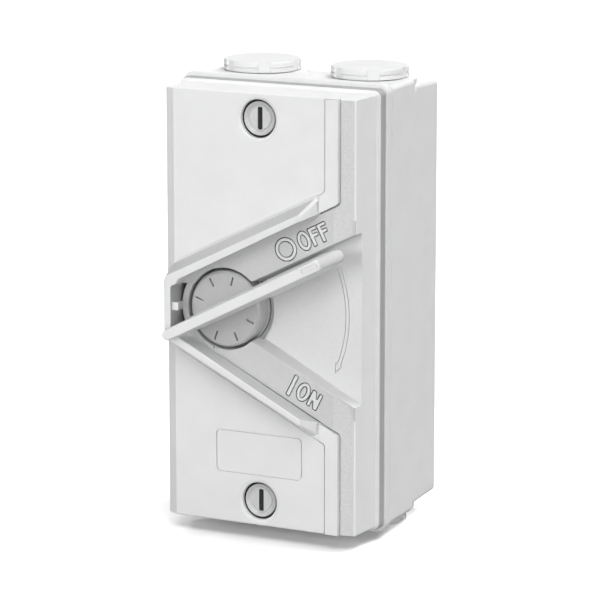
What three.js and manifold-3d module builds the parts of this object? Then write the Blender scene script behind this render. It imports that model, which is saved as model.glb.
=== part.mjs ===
// Weatherproof rotary isolator switch in a two-part plastic enclosure.
//
// Millimetres, +Z up. The origin is the centre of the wall face, +Y points into the wall,
// so the cover looks along -Y. The long handle is at OFF, 27 degrees above the horizontal.
// A "depth" is a distance behind the plane of the front panel.

import * as THREE from 'three';
import { mergeVertices } from 'three/addons/utils/BufferGeometryUtils.js';
import Module from 'manifold-3d';

const wasm = await Module();
wasm.setup();

// Enclosure
const bodyDepth = 68.4;            // front panel to wall
const lipHalfWidth = 41;
const lipHalfHeight = 82.5;
const lipCorner = 4;
const cavityCorner = 2;
const lipFront = 20.3;             // depth of the box's front lip
const lipBack = 25.1;
const bodySetIn = 0.9;             // box side, set in from the lip
const bodySetDown = 1.5;           // box top, set down from the lip
const bodyCorner = 1.8;
const sideDraft = 0.8;             // box side, lost towards the wall
const sideWall = 3.3;              // box side at the front, lip left out
const plateauEnd = 47.5;           // depth at which the higher front part of the top ends
const rearStep = 2.1;
const rearDraft = 0.6;
const stepGroove = 1;
const wall = 2.5;
const backWall = 3;
const wallHoleIn = [12, 18.5];     // wall screws, in from the lip's side and end
const wallHole = 2.6;
const wallBoss = 5.5;
const wallBossTall = 2;

// Cover
const coverSetIn = 2;              // cover's side, set in from the box's lip
const coverSetDown = 3.1;
const coverRear = 16.5;
const coverDraft = 1;
const bevelDepth = 1.8;
const leftBevel = 3.9;
const rightBevel = 8.7;
const coverWall = 2.4;
const flangeOut = 1.2;
const flangeThick = 0.9;
const flangeCorner = 2.6;
const tongueThick = 1.8;
const tongueReach = 24;            // depth of the locating tongue's end
const stripIn = 5.4;               // in from the side of the front
const stripWide = 5.7;
const stripProud = 0.6;
const gasketWide = 1.4;
const panelGroove = 0.6;
const groovePlunge = 0.5;
const crossSlitWide = 0.9;
const crossSlitLong = 4.4;
const plateReach = 12;             // corner plates, out from the rims' inner line
const labelHalf = [17.4, 8];
const labelIn = 29.8;              // middle of the label field, in from the end of the lip
const labelLine = 0.5;

// Guard rims and the recess for the handle
const sweepHalf = 27.2;            // degrees above and below the horizontal
const rimHeight = 7;               // in front of the panel
const rimInner = 18.7;             // half opening between the rims beside the knob's axis
const rimWidth = 3;                // measured along z
const rimFootOut = 3.6;            // how far the outer slope runs out at its foot
const rimSlope = 0.5157;
const rimBeforeStrip = 7.1;        // where the rims' ends start to slope down
const rimEndLong = 3.7;
const barIn = 3.2;                 // upright part of the C, in from the side of the front
const barWide = 2.5;
const barFootOut = 1.1;
const pocketHalf = 8.1;
const lugLong = 3.5;               // small lug on the inside of the upright part
const lugFront = 5.5;
const lugThick = 4;
const lugHalf = 1.3;
const floorDepth = 0.3;
const fanHalf = 5.6;               // half height of the fan recess beside the knob's axis
const fanSlope = 0.508;
const fanDepth = 6;
const fanDraft = 1.45;             // the fan's side walls come in by this much at the bottom
const fanBacking = 2.4;
const fanStart = 10.5;             // from the knob's axis, inside its bore

// Knob, handle and shaft
const knobFromBar = 18.7;
const knobRadius = 14.1;
const boreGap = 1;
const knobLength = 10.4;
const collarThick = 2.4;
const moatOut = 1.5;
const moatDepth = 7.2;
const moatFrom = 4;                // the moat lies to the right of this, from the knob's axis
const neckRadius = 7;
const neckLength = 7;
const cupFloor = 2.4;
const runGap = 0.4;                // clearance of turning parts
const seatGap = 0.3;               // clearance of seated parts
const shaftSize = 7;
const shaftFrom = 6;
const shaftInRotor = 10.6;
const bladeFront = 10.8;           // in front of the panel
const bladeHalfFront = 1.92;
const bladeFlare = 0.1;            // half width gained per mm of depth
const bladeLeft = 22.7;
const bladeTip = 56.2;
const bladeNose = 46;              // where the front starts to slope back
const bladeRootDepth = 3.6;
const wingGap = 0.8;               // lever's left end, in front of the rims
const rootGap = 0.9;               // lever's deep part, from the knob's bore
const screwReach = 9.4;            // handle screws, from the knob's axis
const holeReach = 7;               // their holes, in front of the knob's face
const handleShank = 1.2;
const handleHead = 1.9;
const handleHeadTall = 1.8;
const handleSeat = 3.2;
const ringDepth = 8.6;
const ringRadius = 0.9;
const ringGroove = 1.6;
const clipWide = 3;
const clipThick = 0.7;
const clipGroove = 0.9;
const clipBehind = 0.5;            // behind the cup's floor

// Cover screws
const coverScrewIn = 12.2;         // in from the end of the box's lip
const screwWell = 7.2;
const screwWellRim = 7.8;
const wellDeep = 5.4;
const wellWall = 2.2;
const screwHead = 6.9;
const screwBoss = 4.65;
const screwShank = 3;
const headBack = 3.6;
const screwEnd = 26;
const screwSlotHalf = 1.05;
const postRadius = 5.8;
const postTop = 19.4;
const insertOuter = 3.9;
const insertLong = 8;

// Blanking plugs
const plugIn = 19.1;               // in from the side of the box's lip
const plugFromWall = 21.5;
const plugRadius = 14.3;
const plugTall = 3.9;
const plugStem = 9.9;
const plugReach = 7.6;
const plugSealOuter = 12.3;
const plugSealThick = 0.6;
const notchWide = 4;
const notchDeep = 0.55;
const plugNotches = 6;
const lobeOut = 2.9;

// Switch module
const moduleHalfWidth = 21;
const moduleHalfHeight = 30;
const pillarTall = 2;              // the module stands on pillars on the box's back wall
const rearHousingTall = 10.8;
const frontHousingTall = 19.3;
const chamberRadius = 12.2;
const chamberFore = 6.8;           // chamber, in front of the joint between the housings
const chamberAft = 7.7;
const rotorRadius = 7.5;
const noseWall = 3;
const noseTall = 2;
const rotorCore = 5.5;
const rotorDisc = 11.4;
const discFore = 0.9;
const discThick = 1.8;
const pivotRadius = 4;
const pivotLong = 2.2;
const terminalWell = 3.4;
const terminalHead = 2.9;
const terminalHeadTall = 2.5;
const terminalShank = 1.6;
const terminalLong = 4.4;
const bridgeHalf = 10.5;
const bridgeWide = 5;
const contactThick = 1.2;
const poleFore = 4.3;
const poleAft = 4.5;
const terminalReachZ = 24;
const terminalReachX = 16.6;
const fixReachX = 17;
const fixReachZ = 25.5;
const pillarRadius = 3.6;
const fixShank = 1.5;
const fixHead = 2.8;
const fixHeadTall = 2.1;
const fixRecess = 3;
const slotDeep = 0.8;
const slotHalf = 0.35;
const detentIn = 6;                // from the front of the housing
const detentEnd = 16;              // from the rotor's axis
const detentAngle = -45;
const ballRadius = 1.8;

// Earth bar
const earthIn = 19;                // in from the side of the box's lip
const earthHalf = [3.5, 17, 3.5];
const earthPadTall = 8.1;
const earthEnd = 3;
const earthClampZ = 5;
const earthFixLong = 12;
const earthClampShank = 1.6;
const earthClampLong = 4;
const earthHead = 2.7;
const earthHeadTall = 2.1;

const round = 32;                  // facets of a large circle
const hidden = 20;                 // facets of a circle inside
const small = 12;                  // facets of a small one

const at = (depth) => depth - bodyDepth;
const coverHalfWidth = lipHalfWidth - coverSetIn;
const coverHalfHeight = lipHalfHeight - coverSetDown;
const frontHalfWidth = coverHalfWidth - coverDraft;
const leftBevelFrom = leftBevel - frontHalfWidth;
const rightBevelFrom = frontHalfWidth - rightBevel;
const stripRight = frontHalfWidth - stripIn;
const stripLeft = stripRight - stripWide;
const rimEnd = stripLeft - rimBeforeStrip;
const rimFootEnd = rimEnd + rimEndLong;
const barOuter = barIn - frontHalfWidth;
const barInner = barOuter + barWide;
const knobX = barInner + knobFromBar;
const fanFrom = knobX + fanStart;
const coverScrewZ = lipHalfHeight - coverScrewIn;
const labelZ = labelIn - lipHalfHeight;
const plugX = lipHalfWidth - plugIn;
const earthX = lipHalfWidth - earthIn;
const wallHoleX = lipHalfWidth - wallHoleIn[0];
const wallHoleZ = lipHalfHeight - wallHoleIn[1];
const bodyHalfWidth = lipHalfWidth - bodySetIn;
const bodyHalfHeight = lipHalfHeight - bodySetDown;
const rearHalfHeight = bodyHalfHeight - rearStep;
const boreRadius = knobRadius + boreGap;
const cupBottom = knobLength + runGap;
const holdRadius = boreRadius + collarThick;
const plugY = -plugFromWall;
const innerBack = bodyDepth - backWall;
const moduleSeat = innerBack - pillarTall;
const moduleRear = moduleSeat - seatGap;
const moduleSplit = moduleRear - rearHousingTall;
const moduleFront = moduleSplit - frontHousingTall;
const chamberFrom = moduleSplit - chamberFore;
const chamberTo = moduleSplit + chamberAft;
const discFrom = moduleSplit - discFore;
const discTo = discFrom + discThick;
const poleFront = moduleSplit - poleFore;
const poleRear = moduleSplit + poleAft;
const detentDepth = moduleFront + detentIn;
const shaftTo = moduleFront + shaftInRotor;
const earthFront = innerBack - earthPadTall - seatGap - 2 * earthHalf[2];
const cavityHalfWidth = bodyHalfWidth - sideWall;
const cavityFrontHeight = bodyHalfHeight - wall;
const cavityRearHeight = rearHalfHeight - rearDraft - wall;
const tongueHalfWidth = cavityHalfWidth - runGap;
const tongueHalfHeight = cavityFrontHeight - runGap;
const insertInner = screwShank + seatGap;

// Solids

function asSolid(geometry) {
  const bare = geometry.clone();
  bare.deleteAttribute('normal');
  bare.deleteAttribute('uv');
  const merged = mergeVertices(bare, 1e-5);
  const p = merged.getAttribute('position');
  const triVerts = Uint32Array.from(merged.index.array);
  let volume = 0;
  const a = new THREE.Vector3();
  const b = new THREE.Vector3();
  const c = new THREE.Vector3();
  for (let i = 0; i < triVerts.length; i += 3) {
    a.fromBufferAttribute(p, triVerts[i]);
    b.fromBufferAttribute(p, triVerts[i + 1]);
    c.fromBufferAttribute(p, triVerts[i + 2]);
    volume += a.dot(b.cross(c));
  }
  if (volume < 0) {
    for (let i = 0; i < triVerts.length; i += 3) {
      [triVerts[i], triVerts[i + 1]] = [triVerts[i + 1], triVerts[i]];
    }
  }
  const mesh = new wasm.Mesh({ numProp: 3, vertProperties: Float32Array.from(p.array), triVerts });
  return new wasm.Manifold(mesh);
}

function asGeometry(solid) {
  const mesh = solid.getMesh();
  const geometry = new THREE.BufferGeometry();
  const positions = new Float32Array(mesh.vertProperties);
  geometry.setAttribute('position', new THREE.BufferAttribute(positions, 3));
  geometry.setIndex(new THREE.BufferAttribute(new Uint32Array(mesh.triVerts), 1));
  geometry.computeVertexNormals();
  return geometry;
}

const join = (first, ...rest) => rest.reduce((sum, next) => sum.add(next), first);
const cut = (first, ...rest) => rest.reduce((left, next) => left.subtract(next), first);

// A block from its lowest to its highest corner; the middle pair is given as depths.
function block(x0, x1, depth0, depth1, z0, z1) {
  const geometry = new THREE.BoxGeometry(x1 - x0, depth1 - depth0, z1 - z0);
  geometry.translate((x0 + x1) / 2, at((depth0 + depth1) / 2), (z0 + z1) / 2);
  return asSolid(geometry);
}

// A solid of revolution about the Y direction: the profile is [radius, depth] pairs.
function turned(profile, x = 0, z = 0, segments = round) {
  const points = profile.map(([r, depth]) => new THREE.Vector2(r, at(depth)));
  const geometry = new THREE.LatheGeometry(points, segments);
  geometry.translate(x, 0, z);
  return asSolid(geometry);
}

function rod(radius, depth0, depth1, x = 0, z = 0, segments = small) {
  return turned([[0, depth0], [radius, depth0], [radius, depth1], [0, depth1]], x, z, segments);
}

function tube(outer, inner, depth0, depth1, x = 0, z = 0, segments = small) {
  const profile = [[inner, depth0], [outer, depth0], [outer, depth1], [inner, depth1]];
  return turned([...profile, profile[0]], x, z, segments);
}

// A solid of revolution about an upright axis: the profile is [radius, z] pairs.
function upright(profile, x, y, segments = hidden) {
  const points = profile.map(([r, z]) => new THREE.Vector2(r, z));
  const geometry = new THREE.LatheGeometry(points, segments);
  geometry.rotateX(Math.PI / 2);
  geometry.translate(x, y, 0);
  return asSolid(geometry);
}

// A prism between two outlines of the same number of [x, z] points.
function loft(outlineA, depthA, outlineB, depthB) {
  const count = outlineA.length;
  const flat = (outline) => outline.map(([x, z]) => new THREE.Vector2(x, z));
  const turnedBack = THREE.ShapeUtils.isClockWise(flat(outlineA));
  const rings = [outlineA, outlineB].map((ring) => (turnedBack ? [...ring].reverse() : ring));
  const positions = [];
  rings[0].forEach(([x, z]) => positions.push(x, at(depthA), z));
  rings[1].forEach(([x, z]) => positions.push(x, at(depthB), z));
  const index = [];
  for (let i = 0; i < count; i += 1) {
    const j = (i + 1) % count;
    index.push(i, count + i, j, j, count + i, count + j);
  }
  rings.forEach((ring, end) => {
    const points = flat(ring);
    for (const [p, q, r] of THREE.ShapeUtils.triangulateShape(points, [])) {
      const area = THREE.ShapeUtils.area([points[p], points[q], points[r]]);
      const base = end * count;
      const facesFront = (area > 0) === (end === 0);
      index.push(...(facesFront ? [base + p, base + q, base + r] : [base + p, base + r, base + q]));
    }
  });
  const geometry = new THREE.BufferGeometry();
  geometry.setAttribute('position', new THREE.Float32BufferAttribute(positions, 3));
  geometry.setIndex(index);
  return asSolid(geometry);
}

const prism = (outline, depth0, depth1) => loft(outline, depth0, outline, depth1);

function roundedRect(halfWidth, halfHeight, radius, x = 0, z = 0) {
  const steps = 4;
  const points = [];
  const corners = [[1, 1, 0], [-1, 1, 90], [-1, -1, 180], [1, -1, 270]];
  for (const [sx, sz, start] of corners) {
    for (let i = 0; i <= steps; i += 1) {
      const angle = THREE.MathUtils.degToRad(start + (90 * i) / steps);
      const cx = x + sx * (halfWidth - radius);
      const cz = z + sz * (halfHeight - radius);
      points.push([cx + radius * Math.cos(angle), cz + radius * Math.sin(angle)]);
    }
  }
  return points;
}

// Back box

const holdSides = (make) => join(...[-1, 1].flatMap((up) => [-1, 1].map((side) => make(side, up))));

function boxBody() {
  const endWidth = bodyHalfWidth - sideDraft;
  const stepWidth = bodyHalfWidth - sideDraft * (plateauEnd - lipBack) / (bodyDepth - lipBack);
  const lip = prism(roundedRect(lipHalfWidth, lipHalfHeight, lipCorner), lipFront, lipBack);
  const front = loft(
    roundedRect(bodyHalfWidth, bodyHalfHeight, bodyCorner), lipBack - 1,
    roundedRect(stepWidth, bodyHalfHeight, bodyCorner), plateauEnd,
  );
  const groove = prism(roundedRect(stepWidth, rearHalfHeight - stepGroove, bodyCorner),
    plateauEnd - 1, plateauEnd + stepGroove + 1);
  const rear = loft(
    roundedRect(stepWidth, rearHalfHeight, bodyCorner), plateauEnd + stepGroove,
    roundedRect(endWidth, rearHalfHeight - rearDraft, bodyCorner), bodyDepth,
  );
  const lobe = (side, up) => upright([
    [0, up * (rearHalfHeight - 3)], [plugRadius + lobeOut, up * (rearHalfHeight - 3)],
    [plugRadius + lobeOut, up * bodyHalfHeight], [0, up * bodyHalfHeight],
  ], side * plugX, plugY, round);
  return join(lip, front, groove, rear, holdSides(lobe));
}

function backBox() {
  const hollow = join(
    prism(roundedRect(cavityHalfWidth, cavityFrontHeight, cavityCorner), lipFront - 1, plateauEnd),
    prism(roundedRect(cavityHalfWidth, cavityRearHeight, cavityCorner), lipFront, innerBack),
  );
  const entry = (side, up) => {
    const low = up * (cavityRearHeight - 4);
    const seat = up * (bodyHalfHeight - plugSealThick - seatGap);
    const out = up * (bodyHalfHeight + 1);
    const hole = plugStem + seatGap;
    const rebate = plugSealOuter + seatGap;
    return upright([[0, low], [hole, low], [hole, seat], [rebate, seat], [rebate, out], [0, out]],
      side * plugX, plugY);
  };
  const post = (up) => join(
    rod(postRadius, postTop, innerBack + 0.5, 0, up * coverScrewZ, small),
    block(-1.2, 1.2, tongueReach + runGap, innerBack + 0.5,
      Math.min(up * coverScrewZ, up * (cavityFrontHeight + 1)),
      Math.max(up * coverScrewZ, up * (cavityFrontHeight + 1))),
  );
  const insertHole = (up) => rod(insertOuter + seatGap, postTop - 1, postTop + 10, 0, up * coverScrewZ);
  const boss = (side, up) => rod(wallBoss, innerBack - wallBossTall, innerBack + 0.5,
    side * wallHoleX, up * wallHoleZ);
  const bossHole = (side, up) => rod(wallHole, innerBack - wallBossTall - 2, bodyDepth + 1,
    side * wallHoleX, up * wallHoleZ, small);
  const pillar = (side, up) => rod(pillarRadius, moduleSeat, innerBack + 0.5,
    knobX + side * fixReachX, up * fixReachZ);
  const pillarHole = (side, up) => rod(fixShank + seatGap, moduleSeat - 1, bodyDepth - 1.2,
    knobX + side * fixReachX, up * fixReachZ);
  const earthPad = block(earthX - earthHalf[0], earthX + earthHalf[0],
    earthFront + 2 * earthHalf[2] + seatGap, innerBack + 0.5, -earthHalf[1], earthHalf[1]);
  const earthHoles = [-1, 1].map((end) => rod(fixShank + seatGap,
    earthFront + 2 * earthHalf[2] - 1, innerBack - 1, earthX, end * (earthHalf[1] - earthEnd)));
  const shell = cut(boxBody(), hollow);
  const filled = join(shell, post(1), post(-1), holdSides(boss), holdSides(pillar), earthPad);
  return cut(filled, insertHole(1), insertHole(-1), holdSides(bossHole), holdSides(pillarHole),
    holdSides(entry), ...earthHoles);
}

// Cover

const rimLine = (x, offset) => offset + rimSlope * (x - knobX);

// The C of the guard rims, seen from the front: foot = 1 gives the outline at the panel.
function rimOutline(foot) {
  const out = rimWidth + foot * rimFootOut;
  const end = rimEnd + foot * (rimFootEnd - rimEnd);
  const bar = barOuter - foot * barFootOut;
  const upper = [
    [end, rimLine(end, rimInner)],
    [end, rimLine(end, rimInner + out)],
    [bar + 3, rimLine(bar + 3, rimInner + out)],
    [bar + 1, rimLine(bar, rimInner + out) - 0.6],
    [bar, rimLine(bar, rimInner + out) - 3],
  ];
  const inner = [
    [barInner, pocketHalf - 2],
    [barInner + 0.7, pocketHalf],
    [barInner + 2.3, pocketHalf + 0.9],
    [barInner + 3.4, rimLine(barInner + 3.4, rimInner)],
  ];
  const mirror = ([x, z]) => [x, -z];
  return [
    ...upper,
    ...upper.map(mirror).reverse(),
    ...inner.map(mirror).reverse(),
    ...inner,
  ];
}

function fanOutline(deep, from, to) {
  const half = (x) => fanHalf - deep * fanDraft + fanSlope * (x - knobX);
  return [[from, half(from)], [to, half(to)], [to, -half(to)], [from, -half(from)]];
}

function coverShell() {
  const section = [
    [leftBevelFrom, 0], [-frontHalfWidth, bevelDepth], [-coverHalfWidth, coverRear],
    [coverHalfWidth, coverRear], [frontHalfWidth, bevelDepth], [rightBevelFrom, floorDepth],
    [rightBevelFrom, 0],
  ];
  const shape = new THREE.Shape(section.map(([x, depth]) => new THREE.Vector2(x, at(depth))));
  const bar = new THREE.ExtrudeGeometry(shape, { depth: 2 * coverHalfHeight, bevelEnabled: false });
  bar.translate(0, 0, -coverHalfHeight);
  const strip = block(stripLeft - panelGroove, stripRight, -stripProud, 3,
    -coverHalfHeight, coverHalfHeight);
  const flange = prism(roundedRect(coverHalfWidth + flangeOut, coverHalfHeight + flangeOut, flangeCorner),
    coverRear, coverRear + flangeThick);
  const tongue = prism(roundedRect(tongueHalfWidth, tongueHalfHeight, cavityCorner),
    coverRear - 1.5, tongueReach);
  const hollow = join(
    prism(roundedRect(frontHalfWidth - coverWall, coverHalfHeight - coverWall, cavityCorner),
      coverWall, coverRear - 1),
    prism(roundedRect(tongueHalfWidth - tongueThick, tongueHalfHeight - tongueThick, cavityCorner),
      coverRear - 2, tongueReach + 1),
  );
  return cut(join(asSolid(bar), strip, flange, tongue), hollow);
}

function rimBody() {
  return loft(rimOutline(0), -rimHeight, rimOutline(1), floorDepth + 0.8);
}

// The region between the rims, out to the cover's right side.
function rimRegion() {
  const far = coverHalfWidth + 3;
  const upper = [[barInner + 3.4, rimLine(barInner + 3.4, rimInner)], [far, rimLine(far, rimInner)]];
  const lower = upper.map(([x, z]) => [x, -z]).reverse();
  return [...upper, ...lower];
}

function cover() {
  const rimTop = prism(rimOutline(0), -rimHeight, 3);
  const reach = coverHalfWidth + 1;
  const backingOut = fanBacking / Math.cos(THREE.MathUtils.degToRad(sweepHalf));
  const backing = prism(
    fanOutline(0, fanFrom - 3, frontHalfWidth - 0.2).map(([x, z]) => [x, z + Math.sign(z) * backingOut]),
    1, fanDepth + fanBacking,
  );
  const cup = rod(holdRadius, 1, cupBottom + cupFloor, knobX, 0, round);
  const pocket = cut(
    block(barInner, knobX, -rimHeight - 1, fanDepth, -pocketHalf, pocketHalf),
    rod(holdRadius, -rimHeight - 2, fanDepth + 1, knobX, 0, round),
  );
  const pocketBacking = block(barInner - 2, knobX, 1, fanDepth + fanBacking,
    -pocketHalf - 2, pocketHalf + 2);
  const lug = block(barInner - 0.5, barInner + lugLong, -lugFront, lugThick - lugFront,
    -lugHalf, lugHalf);
  const cutAbove = prism(rimRegion(), -rimHeight - 1, floorDepth);
  const fan = loft(fanOutline(0, fanFrom, reach), floorDepth - 0.01,
    fanOutline(1, fanFrom, reach), fanDepth);
  const fanAir = prism(fanOutline(0, fanFrom, reach), -rimHeight - 1, floorDepth);
  const bore = rod(boreRadius, -rimHeight - 1, cupBottom, knobX, 0, round);
  const moat = rod(boreRadius + moatOut, floorDepth + 3, moatDepth, knobX, 0, round);
  const neckHole = rod(neckRadius + runGap, cupBottom - 1, cupBottom + cupFloor + 1, knobX, 0, round);
  const fanSide = block(knobX + moatFrom, reach, floorDepth + 3, moatDepth + 1,
    -holdRadius, holdRadius);
  const screwPost = (up) => rod(screwWell + wellWall, 1, coverRear + flangeThick,
    0, up * coverScrewZ, round);
  const well = (up) => turned([
    [0, -2], [screwWellRim, -2], [screwWellRim, 0.05], [screwWell, 0.65],
    [screwWell, wellDeep], [screwShank + runGap, wellDeep], [screwShank + runGap, coverRear + 4],
    [0, coverRear + 4],
  ], 0, up * coverScrewZ, round);
  const slit = (up) => block(stripLeft - panelGroove, stripLeft, -2, groovePlunge,
    up > 0 ? rimLine(stripLeft, rimInner + rimWidth + rimFootOut) : -coverHalfHeight - 1,
    up > 0 ? coverHalfHeight + 1 : -rimLine(stripLeft, rimInner + rimWidth + rimFootOut));
  const crossSlit = (up) => {
    const ends = [0, crossSlitLong].map((out) => up * rimLine(rimFootEnd, rimInner + out));
    return block(rimFootEnd, rimFootEnd + crossSlitWide, -2, groovePlunge,
      Math.min(...ends), Math.max(...ends));
  };
  const cornerPlate = (up) => prism([
    [rimFootEnd, up * rimLine(rimFootEnd, rimInner)],
    [stripRight, up * rimLine(stripRight, rimInner)],
    [stripRight, up * rimLine(stripLeft, rimInner + plateReach)],
    [stripLeft - panelGroove, up * rimLine(stripLeft, rimInner + plateReach)],
    [rimFootEnd, up * rimLine(rimFootEnd, rimInner + rimWidth + rimFootOut)],
  ], -stripProud, 3);
  const shell = join(coverShell(), backing, cup, pocketBacking, screwPost(1), screwPost(-1));
  const cleared = cut(shell, cutAbove);
  const raised = join(cleared, rimBody(), cornerPlate(1), cornerPlate(-1));
  const open = cut(raised, fanAir, fan, pocket, bore, moat.intersect(fanSide), neckHole,
    well(1), well(-1), slit(1), slit(-1), crossSlit(1), crossSlit(-1));
  return join(open, lug.subtract(bore), rimTop.intersect(open));
}

function labelGroove() {
  const outer = prism(roundedRect(labelHalf[0], labelHalf[1], 2, 0, labelZ), -1, 0.3);
  const inner = prism(roundedRect(labelHalf[0] - labelLine, labelHalf[1] - labelLine, 1.6, 0, labelZ),
    -2, 1);
  return cut(outer, inner);
}

function coverGasket() {
  const inner = [tongueHalfWidth + seatGap, tongueHalfHeight + seatGap];
  const start = coverRear + flangeThick + seatGap;
  const end = lipFront - seatGap;
  const corner = cavityCorner + seatGap;
  return cut(
    prism(roundedRect(inner[0] + gasketWide, inner[1] + gasketWide, corner + gasketWide), start, end),
    prism(roundedRect(inner[0], inner[1], corner), start - 1, end + 1),
  );
}

// Handle

function squareHole(depth0, depth1, size) {
  return block(-size / 2, size / 2, depth0, depth1, -size / 2, size / 2);
}

const clipDepth = cupBottom + cupFloor + clipBehind;

function knob() {
  const ringHalf = ringRadius + seatGap;
  const clipFrom = clipDepth - seatGap;
  const clipTo = clipDepth + clipThick + seatGap;
  const body = turned([
    [0, 0], [knobRadius - 0.5, 0], [knobRadius, 0.5], [knobRadius, ringDepth - ringHalf],
    [knobRadius - ringGroove, ringDepth - ringHalf], [knobRadius - ringGroove, ringDepth + ringHalf],
    [knobRadius, ringDepth + ringHalf], [knobRadius, knobLength], [neckRadius, knobLength],
    [neckRadius, clipFrom], [neckRadius - clipGroove, clipFrom],
    [neckRadius - clipGroove, clipTo], [neckRadius, clipTo],
    [neckRadius, knobLength + neckLength], [0, knobLength + neckLength],
  ]);
  const screwHoles = [-1, 1].map((side) => join(
    rod(handleShank + runGap, -1, handleSeat + 1, side * screwReach, 0, small),
    rod(handleHead + seatGap, handleSeat, knobLength + 1, side * screwReach, 0, small),
  ));
  const socket = squareHole(shaftFrom - seatGap, knobLength + neckLength + 1, shaftSize + 2 * seatGap);
  return cut(body, socket, ...screwHoles);
}

// The blade's side view is [along, depth] pairs; its width follows the depth.
function handleLever() {
  const halfAt = (depth) => bladeHalfFront + bladeFlare * (depth + bladeFront);
  const wingBack = -rimHeight - wingGap;
  const rootFrom = boreRadius + rootGap;
  const profile = [
    [-bladeLeft + 1, -bladeFront], [bladeNose, -bladeFront], [bladeTip - 0.8, wingBack + 1.2],
    [bladeTip, wingBack + 2.2], [bladeTip - 1, wingBack + 3.6], [bladeNose + 1, bladeRootDepth],
    [rootFrom, bladeRootDepth], [rootFrom, -seatGap], [-knobRadius + 0.2, -seatGap],
    [-knobRadius - 0.8, wingBack], [-bladeLeft, wingBack],
  ];
  const shape = new THREE.Shape(profile.map(([u, depth]) => new THREE.Vector2(u, at(depth))));
  const geometry = new THREE.ExtrudeGeometry(shape, { depth: 2, bevelEnabled: false });
  geometry.translate(0, 0, -1);
  const p = geometry.getAttribute('position');
  for (let i = 0; i < p.count; i += 1) p.setZ(i, p.getZ(i) * halfAt(p.getY(i) + bodyDepth));
  const stadium = (half) => [1, -1].flatMap((end) => Array.from({ length: 9 }, (_, i) => {
    const angle = -end * Math.PI / 2 + (end * end * Math.PI * i) / 8;
    const middle = end > 0 ? bladeTip - half : half - bladeLeft;
    return [middle + half * Math.cos(angle), half * Math.sin(angle)];
  }));
  const front = -bladeFront - 1;
  const back = bladeRootDepth + 1;
  const rounded = loft(stadium(halfAt(front)), front, stadium(halfAt(back)), back);
  const holes = [-1, 1].map((side) => rod(handleShank + seatGap, -holeReach - seatGap, 1,
    side * screwReach, 0, small));
  return cut(asSolid(geometry).intersect(rounded), ...holes);
}

function handleScrew(side) {
  const x = side * screwReach;
  const seat = handleSeat + seatGap;
  const end = seat + handleHeadTall;
  const slot = block(x - handleHead * 0.8, x + handleHead * 0.8, end - slotDeep, end + 1,
    -slotHalf, slotHalf);
  const head = cut(rod(handleHead, seat, end, x, 0, small), slot);
  return join(rod(handleShank, -holeReach + seatGap, seat + 0.1, x, 0, small), head);
}

function ring(major, minor, depth, x = 0, z = 0, segments = round) {
  const profile = [];
  const sides = 6;
  for (let i = 0; i < sides; i += 1) {
    const angle = (2 * Math.PI * i) / sides;
    profile.push([major + minor * Math.cos(angle), depth + minor * Math.sin(angle)]);
  }
  return turned([...profile, profile[0]], x, z, segments);
}

function knobClip() {
  const inner = neckRadius - clipGroove + seatGap;
  const outer = inner + clipWide;
  const disc = tube(outer, inner, clipDepth, clipDepth + clipThick, 0, 0, round);
  const mouth = block(-inner * 0.62, inner * 0.62, clipDepth - 1, clipDepth + clipThick + 1,
    -outer - 1, 0);
  return cut(disc, mouth);
}

function driveShaft() {
  const bar = block(-shaftSize / 2, shaftSize / 2, shaftFrom, shaftTo, -shaftSize / 2, shaftSize / 2);
  const tip = rod(shaftSize * 0.66, shaftFrom - 1, shaftTo + 1, 0, 0, small);
  return bar.intersect(tip);
}

// Cover screws and their seats

function coverScrew() {
  const body = turned([
    [0, -0.2], [screwBoss, -0.2], [screwBoss, 0.6], [screwHead - 0.4, 0.6], [screwHead, 1],
    [screwHead, headBack], [screwShank, headBack], [screwShank, screwEnd - 1.4],
    [screwShank - 1, screwEnd], [0, screwEnd],
  ]);
  const slot = block(-screwSlotHalf, screwSlotHalf, -1, 1.4, 0.55 - screwBoss, screwBoss - 0.55);
  return cut(body, slot);
}

const screwSeal = () => tube(screwWell - 0.8, screwShank + seatGap, headBack + seatGap,
  wellDeep - seatGap, 0, 0, hidden);

function screwInsert(up) {
  return tube(insertOuter, insertInner, postTop + seatGap, postTop + seatGap + insertLong,
    0, up * coverScrewZ, small);
}

// Blanking plugs

function plug() {
  const foot = bodyHalfHeight + seatGap;
  const top = foot + plugTall;
  const body = upright([
    [0, foot - plugReach], [plugStem - 0.8, foot - plugReach], [plugStem, foot - plugReach + 0.8],
    [plugStem, foot], [plugRadius, foot], [plugRadius, foot + 1.7], [plugRadius - 0.35, foot + 1.9],
    [plugRadius, foot + 2.1], [plugRadius, top - 0.3], [plugRadius - 0.3, top], [0, top],
  ], 0, 0, round);
  const notches = [];
  for (let i = 0; i < plugNotches; i += 1) {
    const box = new THREE.BoxGeometry(1, notchWide, plugTall + 2);
    box.translate(plugRadius - notchDeep + 0.5, 0, foot + plugTall / 2 + 0.6);
    box.rotateZ((2 * Math.PI * i) / plugNotches);
    notches.push(asSolid(box));
  }
  return cut(body, ...notches);
}

function plugSeal() {
  const low = bodyHalfHeight - plugSealThick;
  const inner = plugStem + 0.4;
  const outer = plugSealOuter;
  return upright([[inner, low], [outer, low], [outer, bodyHalfHeight], [inner, bodyHalfHeight],
    [inner, low]], 0, 0);
}

// Switch module, built about its own axis

function fixHoles(radius, depth0, depth1) {
  return holdSides((side, up) => rod(radius, depth0, depth1, side * fixReachX, up * fixReachZ, small));
}

function moduleOutline() {
  return roundedRect(moduleHalfWidth, moduleHalfHeight, 2);
}

const contactSlot = bridgeWide / 2 + seatGap;
const pivotEnd = chamberTo - runGap + pivotLong;
const tapRadius = terminalShank + seatGap;
const tapLong = terminalLong + seatGap;

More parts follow.
